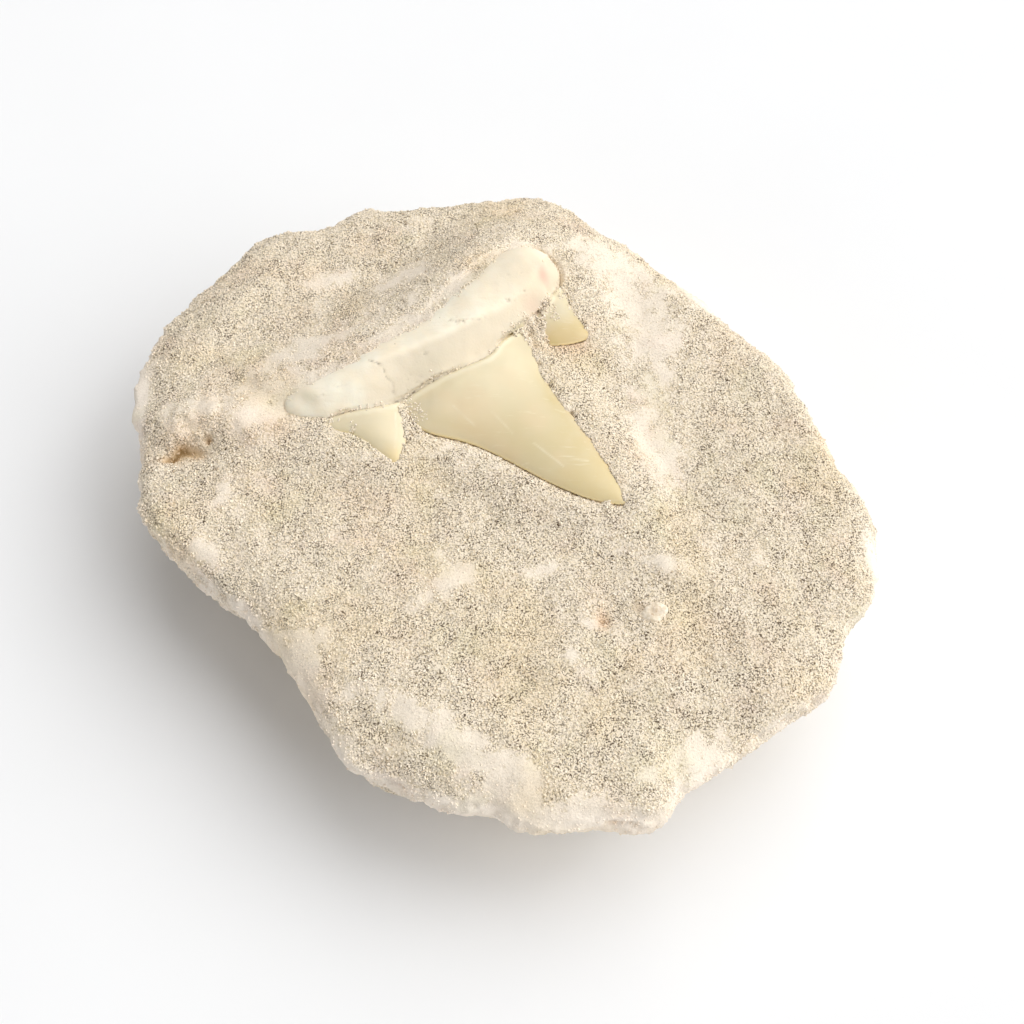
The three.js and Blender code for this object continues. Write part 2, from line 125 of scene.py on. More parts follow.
# The ridge along the root, above its flatter face towards the crown.
RIDGE = (
    (-25.3, 9.3), (-20.2, 11.6), (-16.6, 12.7), (-12.4, 14.2), (-7.8, 16.2), (-3.4, 18.6), (0.5, 20.9),
    (3.8, 24.3), (5.8, 28.7),
)
CRACK = (
    (-16.4, 13), (-15.6, 12.6), (-15, 12.2), (-14.6, 11.7), (-14.3, 11.2), (-14, 10.4), (-13.5, 10),
    (-13.1, 8.7),
)
# Pale scratches on the crown, and the worn ridge of the left cusplet, each from one end to the other.
SCRATCHES = (
    ((-5.5, 7.1), (-4, 5.6), (-2.7, 4.4)), ((-0.5, 6.1), (0.9, 4.6), (2.1, 3.2)),
    ((4.8, 1.8), (6.7, 0.2), (8.5, -1.3)), ((9.3, -0.4), (10.4, -0.4), (11.6, -0.5)),
    ((-13, 6.6), (-12.8, 4.1), (-12.9, 1.6)),
)
# Pits in the root: centre, half length, half width, direction of the long side in degrees, depth.
PITS = (
    (2.4, 25.7, 0.7, 0.3, 10, 0.9), (3.6, 23.3, 0.35, 0.25, 0, 1), (1.6, 21.7, 0.7, 0.25, 30, 0.9),
    (-5.8, 18.6, 0.5, 0.2, 20, 0.9), (-4.4, 18.2, 1.1, 0.3, 15, 0.9), (-2.1, 18.8, 0.4, 0.2, 20, 0.8),
    (-19.9, 9.7, 0.6, 0.2, 10, 0.9), (-10.7, 10.6, 0.8, 0.3, 10, 0.7), (8.7, 25.2, 0.5, 0.5, 0, 1.2),
    (-9.3, 13.6, 0.5, 0.2, 30, 0.5), (-22.5, 8.6, 0.5, 0.25, 10, 0.5), (8, 26.3, 0.2, 1.4, -25, 0.9),
    (-18.4, 3.9, 0.3, 0.7, 0, 0.8),
)
# Lumps of sand in the notches between the blades: middle, then half sizes along X, Y and Z.
NOTCHES = (
    (-11.6, 6.6, 22.6, 0.7, 2.2, 1.2), (-10.6, 4.6, 22.3, 1, 1, 1.2), (5.2, 20.2, 22.9, 1, 2.1, 1.3),
    (5.6, 18.2, 22.3, 1.2, 1.2, 1.4), (-12, 7.8, 22.9, 0.6, 0.9, 1), (6, 22.8, 23.6, 0.9, 1, 1.1),
)
STAINS = ((6.3, 26.9, 0.7, 1.3, 10, 0.6), (4.9, 22.3, 1.3, 1, 50, 0.28))
GREY_END = (
    (-24.1, 8.4, 1.6, 0.7, -35, 0.8), (-8.5, 12.6, 2.5, 1, 30, 0.3), (8.3, 22.8, 2, 1.6, 0, 0.7),
    (-16.8, 5.4, 2.4, 1, 5, 0.5), (-9, 7.6, 2, 1.4, 30, 0.5), (4.2, 17, 1.8, 1.3, -60, 0.6),
)
# Darker dentine, painted shade on the front slope of the root near the neck and a darker patch at its right
# end; and deeper honey in the enameloid.
DARKER_ROOT_AND_SHADE = (
    (5, 26, 5.5, 5, 0, 1), (-3, 14.8, 5.5, 1.4, 32, 0.7), (-12, 10.8, 3, 1, 25, 0.3),
)
HONEY = (
    (10.6, 18.7, 3.6, 1.5, 15, 2.2), (9.5, 20, 3, 3, 0, 0.3), (10, 1, 4.5, 3, -40, 0.2),
    (7.5, 8, 1, 5, 25, 0.35), (-5, 4.6, 4, 1, -20, 0.35),
)
TAN = ((9.9, 7.4, 6.5, 0.9, -61, 0.6), (-4.2, 6.8, 1.6, 1.2, 0, 0.4), (-1, 2.4, 6, 0.8, -35, 0.3))
# Paler enameloid on the left cusplet; towards its tip, which lies in shade, it is also painted light.
PALE_GLAZE_AND_PAINTED_LIGHT = ((-14.4, 3.8, 4.5, 4, 0, 1), (-8.5, 6, 3, 2, 0, 0.5))
WIDE_CRACK = ((-15.2, 12.4, 0.9, 0.6, -30, 1),)
# Where loose grains lie on the tooth.
SPRINKLED = (
    (4.9, 18.9, 2.4, 1, -60, 1), (6, 16.4, 1.8, 0.5, -62, 0.8), (-10.4, 6.6, 1.8, 1.1, -50, 1),
    (-18.4, 4.3, 0.5, 1, 0, 1), (8.7, 26, 0.7, 1.4, -20, 0.9), (-11.6, 6.6, 0.5, 1.6, 0, 0.9),
    (7.3, 22, 0.9, 1.3, 15, 0.8), (-21.6, 5.4, 1.4, 0.5, 10, 0.6), (10.4, 22.8, 1.8, 0.5, -55, 0.8),
)

# Blotches: centre, half length, half width, direction of the long side in degrees, strength.
PALE_DUST = (
    (19.5, 26.2, 5, 3.4, -60, 0.45), (21.1, 17.8, 5.6, 3, 100, 0.45), (19.9, 6.8, 6, 2.4, 95, 0.35),
    (22, 0.7, 3, 2, 90, 0.35), (14.2, 32.7, 4, 3, -40, 0.65), (-9.2, 26.2, 8.5, 3.2, 38, 0.15),
    (-18.4, 19.5, 6, 2.4, 30, 0.15), (-26.2, 16.2, 5, 2.4, 30, 0.5), (-29.5, 8.3, 2.8, 2, 30, 0.7),
    (-4.6, -36.8, 8.5, 1.7, -33, 0.85), (-22.1, -24.3, 2.6, 2.1, 0, 0.7), (-24, -27.5, 8, 2, 125, 0.5),
    (23.6, -37.5, 3.2, 1.8, 35, 0.95), (5.2, -44, 8, 1.5, 0, 0.8), (-5.5, -16.4, 3.2, 1.7, 30, 0.75),
    (6.1, -15, 2.6, 1.2, 10, 0.6), (-36.1, -12, 1.7, 1, -50, 1), (20.9, -14.3, 1.3, 0.9, 10, 1),
    (11.4, -21.7, 1.2, 0.8, -20, 1), (8.9, -26.3, 1.1, 0.8, 30, 1), (17.7, -40.4, 1.3, 0.8, 30, 1),
    (2.9, -40.1, 1.6, 1, -20, 0.9), (-47.4, 12, 1, 4.4, 0, 1), (47.2, -12.5, 0.9, 3, 10, 1),
    (-31.4, 6.8, 1.9, 1.1, 40, 1), (21.8, 18.7, 1.8, 1.2, 0, 0.9), (27.8, 26.9, 1.8, 1, -45, 0.8),
    (-34.9, -4, 1.6, 0.9, 60, 0.7), (-12.5, 30, 3, 1.6, 20, 0.6), (-24, 30, 3.6, 1.2, 15, 0.6),
    (-38.5, 7.4, 4.6, 2.8, 10, 0.35),
)
OPEN_SAND = (
    (34.2, 6.8, 8, 4.5, -50, 0.9), (42, -10.9, 5, 6, 0, 1), (-0.6, -23, 5, 3.6, 20, 1),
    (15, -36.3, 6, 3.6, -20, 1), (29, -26.9, 7, 3.6, 25, 1), (7.6, 18.7, 2.6, 1.6, -60, 1),
    (-10.9, 6.1, 1.4, 1.4, 0, 1), (-34, 27, 8, 3, 45, 0.8), (-2, -9, 9, 3, -15, 0.6),
    (12, 10, 6, 1.6, -60, 0.7), (-41, -3, 4, 3, 0, 0.6), (-22, 34, 8, 3, 10, 0.5),
)
CHALK = (
    (-47.6, 10.5, 1.2, 5.5, 0, 1), (47.5, -11.5, 1, 4, 10, 0.9), (-22.5, -25, 2.4, 1.6, 30, 0.25),
    (28, 26.5, 3, 0.9, -45, 0.8), (-31.4, 7.2, 1.8, 1.2, 40, 0.5), (20.9, -15, 1.2, 0.9, 0, 0.3),
    (5.2, -44.8, 9, 1, 0, 0.5), (24, -39, 4, 1, 35, 0.4),
)
# Hollows that are sunk and get a painted brown shadow: under the mound at the left, and two small pits.
SHADOWED_HOLLOWS = (
    (-42.3, 1.9, 1, 0.35, 0, 1), (-41, 2.9, 0.9, 0.5, 30, 1), (-39.2, 2.7, 1.3, 0.5, -10, 0.8),
    (-40.2, 2.2, 2.4, 0.9, 5, 0.25), (-37.2, 3.9, 0.35, 0.35, 0, 1.3), (17.2, -19.8, 0.6, 0.7, 0, 0.4),
    (12.9, -21.7, 0.7, 0.7, 0, 0.35),
)
LUMPY = ((-38.5, 6.8, 5, 3.4, 10, 1), (-44, 1, 2, 3, 0, 0.7))
ROSY = (
    (-13, -9, 5, 8, 10, 0.1), (-28.5, 5.2, 2.2, 2, 0, 0.5), (-41, 4.6, 2.6, 1.6, 0, 0.4),
    (9.6, 17.6, 2.4, 1.6, 0, 0.6), (13, -21.6, 0.8, 1.2, 0, 0.8),
)


# ---- Shapes from numbers ----


def smooth_step(values, low, high):
    share = np.clip((values - low) / (high - low), 0, 1)
    return share * share * (3 - 2 * share)


def bell(values, width):
    """1 where the values are 0, and smoothly less on both sides."""
    return np.exp(-((values / width) ** 2))


def rough(points, wavelength, seed):
    """Smooth noise from about -1 to 1 at points in millimetres. Each seed is a field of its own: the
    twenties are on the tooth, the thirties on the small bits and the rest on the slab and the sand."""
    random = np.random.default_rng(seed)
    order = random.permutation(256)
    slopes = random.normal(size=(256, 3))
    slopes /= np.linalg.norm(slopes, axis=1)[:, None]
    cell = np.floor(points / wavelength).astype(int)
    offset = points / wavelength - cell
    fade = offset**3 * (offset * (offset * 6 - 15) + 10)
    total = np.zeros(len(points))
    for corner in product((0, 1), repeat=3):
        x, y, z = ((cell + corner) % 256).T
        slope = slopes[order[(order[(order[x] + y) % 256] + z) % 256]]
        weight = np.prod(np.where(corner, fade, 1 - fade), axis=1)
        total += weight * np.sum(slope * (offset - corner), axis=1)
    return 1.6 * total


def blotches(points, places):
    """The sum of soft blotches at points in millimetres."""
    total = np.zeros(len(points))
    for x, y, half_length, half_width, turn, strength in places:
        angle = math.radians(turn)
        dx, dy = points[:, 0] - x, points[:, 1] - y
        lengthwise = (dx * math.cos(angle) + dy * math.sin(angle)) / half_length
        crosswise = (dy * math.cos(angle) - dx * math.sin(angle)) / half_width
        total += strength * np.exp(-0.7 * (lengthwise**2 + crosswise**2))
    return total


def smooth_line(points, steps=12):
    """A smooth curve through points, as many closer points."""
    points = np.array(points, float)
    ends = np.vstack([2 * points[0] - points[1], points, 2 * points[-1] - points[-2]])
    line = []
    for before, start, end, after in zip(ends, ends[1:], ends[2:], ends[3:]):
        for share in np.arange(steps) / steps:
            line.append(0.5 * (
                2 * start
                + (end - before) * share
                + (2 * before - 5 * start + 4 * end - after) * share**2
                + (3 * start - before - 3 * end + after) * share**3
            ))
    return np.array([*line, points[-1]])


def from_line(points, line):
    """Distance in plan from a line, and on which side: above 0 on its right hand."""
    line = np.array(line)[:, :2]
    best, side = np.full(len(points), np.inf), np.zeros(len(points))
    for start, end in zip(line, line[1:]):
        step, offset = end - start, points[:, :2] - start
        share = np.clip(offset @ step / (step @ step), 0, 1)
        away = offset - share[:, None] * step
        distance = np.hypot(*away.T)
        closer = distance < best
        best[closer] = distance[closer]
        side[closer] = np.sign(step[1] * offset[:, 0] - step[0] * offset[:, 1])[closer]
    return best, side


# ---- Meshes ----

TWICE = {"levels": 2, "render_levels": 2}
VOXELS = {"mode": "VOXEL", "use_smooth_shade": True}


def new_object(name, data):
    """A new object in the scene."""
    item = bpy.data.objects.new(name, data)
    bpy.context.scene.collection.objects.link(item)
    return item


def merged_copy(node, name):
    """A copy of a CAD node, with its loose triangles joined, as a new object."""
    mesh = bpy.data.meshes.new(name)
    shape = bmesh.new()
    shape.from_mesh(frame["nodes"][node].data)
    bmesh.ops.remove_doubles(shape, verts=shape.verts, dist=0.001 * MM)
    shape.to_mesh(mesh)
    shape.free()
    return new_object(name, mesh)


def run_modifiers(piece, *steps):
    """Runs modifiers, each given as its kind and its settings, and keeps the mesh they make."""
    for kind, settings in steps:
        step = piece.modifiers.new(kind, kind)
        for name, value in settings.items():
            setattr(step, name, value)
    keep_result(piece)


def keep_result(piece):
    """Replaces a piece's mesh by what its modifiers make of it, and removes them."""
    bpy.context.view_layer.update()
    evaluated = piece.evaluated_get(bpy.context.evaluated_depsgraph_get())
    mesh = bpy.data.meshes.new_from_object(evaluated)
    piece.modifiers.clear()
    piece.data = mesh
    mesh.name = piece.name


def vectors(items, name):
    """One vector of each point or face of a mesh, as rows."""
    flat = np.zeros(len(items) * 3)
    items.foreach_get(name, flat)
    return flat.reshape(-1, 3)


def points_of(piece):
    """A piece's points, in millimetres."""
    return vectors(piece.data.vertices, "co") / MM


def normals_of(piece):
    return vectors(piece.data.vertices, "normal")


def faces_of(piece):
    """The middles of a piece's faces, in millimetres, and their normals."""
    faces = piece.data.polygons
    return vectors(faces, "center") / MM, vectors(faces, "normal")


def move_points(piece, points):
    piece.data.vertices.foreach_set("co", (points * MM).ravel())
    piece.data.update()


def write_attributes(piece, **fields):
    """Stores fields on a piece's points, each kept within 0 and 1."""
    for name, values in fields.items():
        layer = piece.data.attributes.new(name, "FLOAT", "POINT")
        layer.data.foreach_set("value", np.clip(values, 0, 1).astype(np.float32))


def relax(piece, points, weights, rounds):
    """Points evened out: each moves towards the middle of its neighbours, by its weight."""
    ends = np.zeros(len(piece.data.edges) * 2, int)
    piece.data.edges.foreach_get("vertices", ends)
    first, second = ends.reshape(-1, 2).T
    count = np.bincount(ends, minlength=len(points))
    for _ in range(rounds):
        middle = np.stack([
            np.bincount(first, points[second, axis], len(points))
            + np.bincount(second, points[first, axis], len(points))
            for axis in range(3)
        ], axis=1) / count[:, None]
        points = points + weights[:, None] * (middle - points)
    return points


def surface_tree(piece):
    return BVHTree.FromObject(piece, bpy.context.evaluated_depsgraph_get())


def finish_piece(piece, slot, *nodes, material=None):
    """Ties a finished piece to the frame. One that is given a material is shaded smooth."""
    if material:
        piece.data.materials.append(material)
        piece.data.polygons.foreach_set("use_smooth", [True] * len(piece.data.polygons))
        piece.data.update()
    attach(piece, "root")
    if nodes:
        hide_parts(*nodes)


# ---- Materials ----

INK, HOLLOW_SHADE = "#422C14", "#CDAF86"  # the dark films between the grains, and the painted brown shadow in the hollows
SOFT = {"interpolation_type": "SMOOTHSTEP"}  # values that pass softly from one range to another


def linear(hex_colour):
    """An sRGB hex colour as linear red, green, blue and alpha."""
    channels = [int(hex_colour[i : i + 2], 16) / 255 for i in (1, 3, 5)]
    return (*[c / 12.92 if c <= 0.04045 else ((c + 0.055) / 1.055) ** 2.4 for c in channels], 1.0)


def add_node(tree, kind, inputs=None, **settings):
    """Adds a node, with its settings. Each input is a value, an sRGB hex colour, the socket that it
    is linked to, or the node whose first open output it is linked to."""
    node = tree.nodes.new(kind)
    for name, value in settings.items():
        setattr(node, name, value)
    for name, value in (inputs or {}).items():
        if isinstance(value, bpy.types.Node):
            value = next(output for output in value.outputs if output.enabled)
        if isinstance(value, bpy.types.NodeSocket):
            tree.links.new(value, node.inputs[name])
        else:
            hex_colour = isinstance(value, str) and value.startswith("#")
            node.inputs[name].default_value = linear(value) if hex_colour else value
    return node


def new_material(name):
    """A material with an empty tree, with what adds nodes to it, and its coordinates."""
    material = bpy.data.materials.new(name)
    material.use_nodes = True
    material.node_tree.nodes.clear()
    add = partial(add_node, material.node_tree)
    return material, add, add("ShaderNodeTexCoord").outputs["Object"]


def lumps(coords, size_mm, detail=2.0, roughness=0.5):
    """The inputs of a noise whose lumps are about `size_mm` across."""
    return {"Vector": coords, "Scale": 1 / (size_mm * MM), "Detail": detail, "Roughness": roughness}


def raised(height, depth_mm):
    """The inputs of a bump as deep as that."""
    return {"Height": height, "Strength": 1.0, "Distance": depth_mm * MM}


def coat(add, colour, *layers, blend_type="MIX"):
    """A colour under layers. Each is given by where it lies, an attribute's name or a node, by the
    range over which it comes in, if that isn't 0 to 1, and how strongly, and by its colour."""
    for where, span, tone in layers:
        if isinstance(where, str):
            where = add("ShaderNodeAttribute", attribute_name=where).outputs["Fac"]
        if span:
            where = add("ShaderNodeMapRange", dict(enumerate((where, *span))), **SOFT)
        colour = add(
            "ShaderNodeMix", {0: where, 6: colour, 7: tone},
            data_type="RGBA", blend_type=blend_type, clamp_factor=True,
        )
    return colour


def sand_tint(add, coords, colour):
    """Faint drifts of colour through the matrix, from iron and clay between the grains."""
    wide, middling, small, widest = (
        add("ShaderNodeTexNoise", lumps(coords, size, detail))
        for size, detail in ((9.0, 3.0), (6.0, 3.0), (4.3, 3.0), (13.0, 2.0))
    )
    warm = add("ShaderNodeMapRange", {0: wide, 1: 0.5, 2: 0.7, 3: 0.0, 4: 0.2}, **SOFT)
    patches = add("ShaderNodeAttribute", attribute_name="rosy").outputs["Fac"]
    rosy = add("ShaderNodeMath", {0: patches, 1: warm}, operation="ADD")
    return coat(
        add, colour,
        (rosy, None, "#FDEDE2"),
        (middling, (0.54, 0.72, 0.0, 0.5), "#F6F8EE"),
        (small, (0.55, 0.72, 0.0, 0.25), "#FAF2F6"),
        (widest, (0.48, 0.68, 0.0, 0.5), "#FDF7E8"),
        blend_type="MULTIPLY",
    )


def ink(add, coords):
    """Broken thin lines, as the dark films round the grains: 0 to 1, and few where dust lies."""
    edges = add(
        "ShaderNodeTexVoronoi", {"Vector": coords, "Scale": 1 / (0.3 * MM)}, feature="DISTANCE_TO_EDGE"
    )
    fine = add("ShaderNodeTexNoise", lumps(coords, 0.24, 2.0, 0.6))
    wide = add("ShaderNodeTexNoise", lumps(coords, 2.4, 3.0))
    dust = add("ShaderNodeAttribute", attribute_name="dust").outputs["Fac"]
    lines = add("ShaderNodeMapRange", {0: edges, 1: 0.18, 2: 0.06}, **SOFT)
    broken = add("ShaderNodeMapRange", {0: fine, 1: 0.48, 2: 0.54}, **SOFT)
    crowded = add("ShaderNodeMapRange", {0: wide, 1: 0.38, 2: 0.6, 3: 0.55, 4: 1.0}, **SOFT)
    bare = add("ShaderNodeMapRange", {0: dust, 1: 0.8, 2: 0.15, 3: 0.2, 4: 1.0}, **SOFT)
    broken = add("ShaderNodeMath", {0: broken, 1: crowded}, operation="MULTIPLY")
    drawn = add("ShaderNodeMath", {0: lines, 1: broken}, operation="MULTIPLY")
    return add("ShaderNodeMath", {0: drawn, 1: bare}, operation="MULTIPLY")


def matrix_material(settings):
    """Fine sand cemented by phosphate and clay: dull, with brown cement in the gaps between the grains,
    pale dust where it has been rubbed, and a chalky rim where it has broken. The dust and the chalk
    are also painted light on the sloping sides, and the hollows have a painted brown shadow."""
    material, add, coords = new_material("phosphate_sandstone_cement")
    speck = add("ShaderNodeTexNoise", lumps(coords, 0.42, 3.0, 0.6))

    def broken_up(name, amount):
        """An attribute with its edges broken up by the specks."""
        field = add("ShaderNodeAttribute", attribute_name=name).outputs["Fac"]
        edge = add("ShaderNodeMapRange", {0: speck, 1: 0.2, 2: 0.8, 3: -amount, 4: amount}, **SOFT)
        return add("ShaderNodeMath", {0: field, 1: edge}, operation="ADD")

    hollow = broken_up("hollow", 0.15)
    colour = coat(
        add, settings.cement,
        (speck, (0.34, 0.6), "#F7EAD5"),
        # Pale dust and chalk, both also painted light on the sloping sides.
        (broken_up("dust", 0.5), (0.2, 0.8), settings.dust),
        (ink(add, coords), None, INK),
        (broken_up("chalk", 0.2), (0.1, 0.9), settings.chalk),
        # Painted shadow in the hollows, darkest in their middles.
        (hollow, None, HOLLOW_SHADE),
        (hollow, (0.7, 1.1), "#8C7048"),
    )
    fine = add("ShaderNodeTexNoise", lumps(coords, 0.35, 3.0, 0.6))
    shader = add("ShaderNodeBsdfPrincipled", {
        "Base Color": sand_tint(add, coords, colour), "Roughness": 0.95, "Specular IOR Level": 0.25,
        "Normal": add("ShaderNodeBump", raised(fine, 0.1)),
    })
    add("ShaderNodeOutputMaterial", {"Surface": shader})
    return material


def sand_material(settings, stone):
    """Angular quartz and phosphate grains, dusted with clay: pale, a little different each, and
    a few of them dark."""
    material, add, coords = new_material("quartz_sand_grains")
    tone = add("ShaderNodeAttribute", attribute_name="tone").outputs["Fac"]

    def share(name, amount):
        """A share of an attribute."""
        field = add("ShaderNodeAttribute", attribute_name=name).outputs["Fac"]
        return add("ShaderNodeMath", {0: field, 1: amount}, operation="MULTIPLY")

    colour = coat(
        add, "#F1E3C9",
        (tone, (0.05, 1.0), settings.quartz),
        (tone, (0.16, 0.14), "#A28F6F"),
        (tone, (0.05, 0.04), "#65523A"),
        (ink(add, coords), None, INK),
        # The grains take the pale dust and chalk of the slab, including the painted light on its sloping
        # sides, and the painted shadow of its hollows.
        (share("dust", 0.9), None, stone.dust),
        (share("chalk", 0.9), None, stone.chalk),
        (share("hollow", 0.8), None, HOLLOW_SHADE),
    )
    fine = add("ShaderNodeTexNoise", lumps(coords, 0.12))
    shader = add("ShaderNodeBsdfPrincipled", {
        "Base Color": sand_tint(add, coords, colour), "Roughness": 0.75, "Specular IOR Level": 0.3,
        "Normal": add("ShaderNodeBump", raised(fine, 0.02)),
    })
    add("ShaderNodeOutputMaterial", {"Surface": shader})
    return material


def tooth_material(settings):
    """Fossil enameloid over root dentine: the enameloid is smooth, softly glossy and honey
    coloured towards its tips, and the root is matt, porous and cream."""
    material, add, coords = new_material("fossil_enameloid_and_dentine")
    enamel, reach, sandy = (
        add("ShaderNodeAttribute", attribute_name=name).outputs["Fac"]
        for name in ("enamel", "reach", "sandy")
    )
    tip = add("ShaderNodeMapRange", {0: reach, 1: 0.5, 2: 0.9}, **SOFT)
    along = add(
        "ShaderNodeMapping",
        {"Vector": coords, "Rotation": (0, 0, math.radians(41)), "Scale": (0.12, 1.0, 1.0)},
    ).outputs["Vector"]
    streaks = add("ShaderNodeTexNoise", lumps(along, 0.5, 4.0, 0.6))
    cloud = add("ShaderNodeTexNoise", lumps(coords, 4.0, 3.0))
    drift = add("ShaderNodeTexNoise", lumps(coords, 7.0))
    grit = add("ShaderNodeTexNoise", lumps(coords, 0.3))
    pores = add("ShaderNodeTexNoise", lumps(coords, 0.3, 3.0, 0.6))

    glaze = coat(
        add, settings.enameloid,
        (reach, (0.0, 0.35), "#D9C89C"),
        (tip, None, settings.tip),
        # Paler enameloid on the left cusplet, with painted light at its shaded tip.
        ("pale_glaze", None, coat(add, "#EFE0BC", (tip, None, "#FFE5AE"))),
        ("honey", None, "#CBB26C"),
        ("tan", None, "#E6CBA2"),
        ("grey_end", None, "#D5C9AC"),
        (cloud, (0.35, 0.75, 0.0, 0.45), "#DBCDA8"),
        (drift, (0.45, 0.7, 0.0, 0.5), "#E4CDA4"),
        (streaks, (0.58, 0.8, 0.0, 0.5), "#EFE4C8"),
        # Painted light: the sloping sides of the enameloid that face lower left, away from the lamps, are
        # made paler golden, along with its golden edge.
        ("worn_edge", None, "#F9E4B0"),
        ("scratch", None, "#F6ECD2"),
    )
    bone = coat(
        add, settings.bone,
        (cloud, (0.3, 0.7), "#FFF6E1"),
        # Painted shade on the front face of the root.
        ("front", None, "#E9DCC3"),
        # Painted shade on the front slope of the root, and a darker patch at its right end.
        ("dull", None, "#E9DABF"),
        ("dusty", None, "#F4E8D3"),
        (streaks, (0.25, 0.5, 0.35, 0.0), "#ECDFC4"),
        ("stain", None, "#D9A593"),
        ("grey_end", None, "#D3C9AE"),
    )
    # Darker brown along the furrow of the neck, in the crack and in the pits, broken into specks.
    speck = add("ShaderNodeMapRange", {0: grit, 1: 0.42, 2: 0.6, 3: 0.35, 4: 1.0}, **SOFT)
    sandy = add("ShaderNodeMath", {0: sandy, 1: speck}, operation="MULTIPLY")
    colour = coat(add, bone, (enamel, None, glaze), (sandy, None, "#5A4428"))

    gloss = add("ShaderNodeMapRange", {0: streaks, 1: 0.3, 2: 0.7, 3: 0.42, 4: 0.52}, **SOFT)
    porous = add("ShaderNodeMath", {0: 1.0, 1: enamel}, operation="SUBTRACT")
    matt = add("ShaderNodeMath", {0: porous, 1: 0.35}, operation="MULTIPLY")
    pores = add("ShaderNodeMath", {0: pores, 1: porous}, operation="MULTIPLY")
    grooves = add("ShaderNodeMath", {0: streaks, 1: 0.2}, operation="MULTIPLY")
    relief = add("ShaderNodeMath", {0: pores, 1: grooves}, operation="ADD")
    shader = add("ShaderNodeBsdfPrincipled", {
        "Base Color": colour, "Roughness": add("ShaderNodeMath", {0: gloss, 1: matt}, operation="ADD"),
        "Normal": add("ShaderNodeBump", raised(relief, 0.03)), "IOR": 1.6, "Subsurface Weight": 0.2,
        "Subsurface Radius": (1.0, 0.85, 0.6), "Subsurface Scale": 0.8 * MM,
    })
    add("ShaderNodeOutputMaterial", {"Surface": shader})
    return material


def bone_material():
    """A crumb of weathered bone: chalky and pale, browner in its pit."""
    material, add, coords = new_material("weathered_bone")
    fine = add("ShaderNodeTexNoise", lumps(coords, 0.35, 3.0, 0.6))
    blots = add("ShaderNodeTexNoise", lumps(coords, 0.5))
    pit = add("ShaderNodeAttribute", attribute_name="hollow").outputs["Fac"]
    ochre = add("ShaderNodeMapRange", {0: blots, 1: 0.56, 2: 0.64}, **SOFT)
    ochre = add("ShaderNodeMath", {0: 0.4, 1: ochre}, operation="ADD")
    hollow = add("ShaderNodeMath", {0: pit, 1: ochre}, operation="MULTIPLY")
    shader = add("ShaderNodeBsdfPrincipled", {
        "Base Color": coat(
            add, "#EBDBC0", (fine, (0.35, 0.65), "#FFF2DE"), (hollow, None, "#A57F50")
        ),
        "Roughness": 0.85, "Normal": add("ShaderNodeBump", raised(fine, 0.06)),
    })
    add("ShaderNodeOutputMaterial", {"Surface": shader})
    return material


def splinter_material():
    """A splinter of enameloid: glassy and honey yellow."""
    material, add, coords = new_material("honey_enameloid")
    cloud = add("ShaderNodeTexNoise", lumps(coords, 0.8))
    shader = add("ShaderNodeBsdfPrincipled", {
        "Base Color": coat(add, "#C9A95E", (cloud, None, "#E6D096")), "Roughness": 0.3, "IOR": 1.6,
        "Normal": add("ShaderNodeBump", raised(cloud, 0.04)),
    })
    add("ShaderNodeOutputMaterial", {"Surface": shader})
    return material


def paper_material():
    """Matt white paper, with a faint mottle."""
    material, add, coords = new_material("matt_white_paper")
    mottle = add("ShaderNodeTexNoise", lumps(coords, 40.0, 3.0))
    shader = add("ShaderNodeBsdfPrincipled", {
        "Base Color": coat(add, "#F2F2F2", (mottle, None, "#F6F6F6")), "Roughness": 0.9,
        "Specular IOR Level": 0.1,
    })
    add("ShaderNodeOutputMaterial", {"Surface": shader})
    return material


# ---- Settings ----


def metres(name, description, size):
    return FloatProperty(name=name, description=description, default=size, unit="LENGTH")


def degrees(name, description, turn):
    return FloatProperty(
        name=name, description=description, default=math.radians(turn), subtype="ANGLE"
    )


def watts(name, description, power):
    return FloatProperty(name=name, description=description, default=power, unit="POWER")


def tint(name, description, hex_colour):
    return FloatVectorProperty(
        name=name, description=description, default=linear(hex_colour), size=4, subtype="COLOR"
    )


class StageSettings(bpy.types.PropertyGroup):
    """The camera, the lights and the surface that the slab lies on."""

    elevation: degrees("Camera elevation", "Angle of the view above the horizon", 61)
    distance: metres("Camera distance", "From the camera to the point that it looks at", 178 * MM)
    aim: FloatVectorProperty(
        name="Aim", description="The point that the camera looks at", default=(2.03 * MM, -6.9 * MM, 22 * MM),
        subtype="XYZ",
    )
    key_power: watts("Key power", "Power of the main light", 119)
    key_turn: degrees("Key direction", "Seen from above, from +X towards +Y", -10)
    key_height: degrees("Key elevation", "Above the horizon", 35)
    fill_power: watts("Fill power", "Power of the second light", 107)
    fill_turn: degrees("Fill direction", "Seen from above, from +X towards +Y", 50)
    fill_height: degrees("Fill elevation", "Above the horizon", 55)
    low_power: watts("Low power", "Power of the low light on the near side", 25)
    low_turn: degrees("Low direction", "Seen from above, from +X towards +Y", -130)
    low_height: degrees("Low elevation", "Above the horizon", 16)
    light_distance: metres("Light distance", "From the slab to the lights", 4.0)
    light_size: metres("Light size", "Width of the round lights", 4.4)
    floor_size: metres("Surface size", "Width of the surface under the slab", 4.0)
    sky: FloatProperty(name="Sky", description="Strength of the even light all round", default=0.3)


class ToothSettings(bpy.types.PropertyGroup):
    """The tooth: root, crown and two cusplets."""

    voxel: metres("Mesh size", "Edge length of the tooth's mesh", 0.21 * MM)
    furrow: metres("Furrow depth", "Depth of the furrow along the neck", 0.16 * MM)
    bone: tint("Root", "Colour of the root where it is darker", "#FFEFD4")
    enameloid: tint("Enameloid", "Colour of the enameloid next to the root", "#EADCB8")
    tip: tint("Tips", "Colour of the enameloid at the tips", "#DDC894")


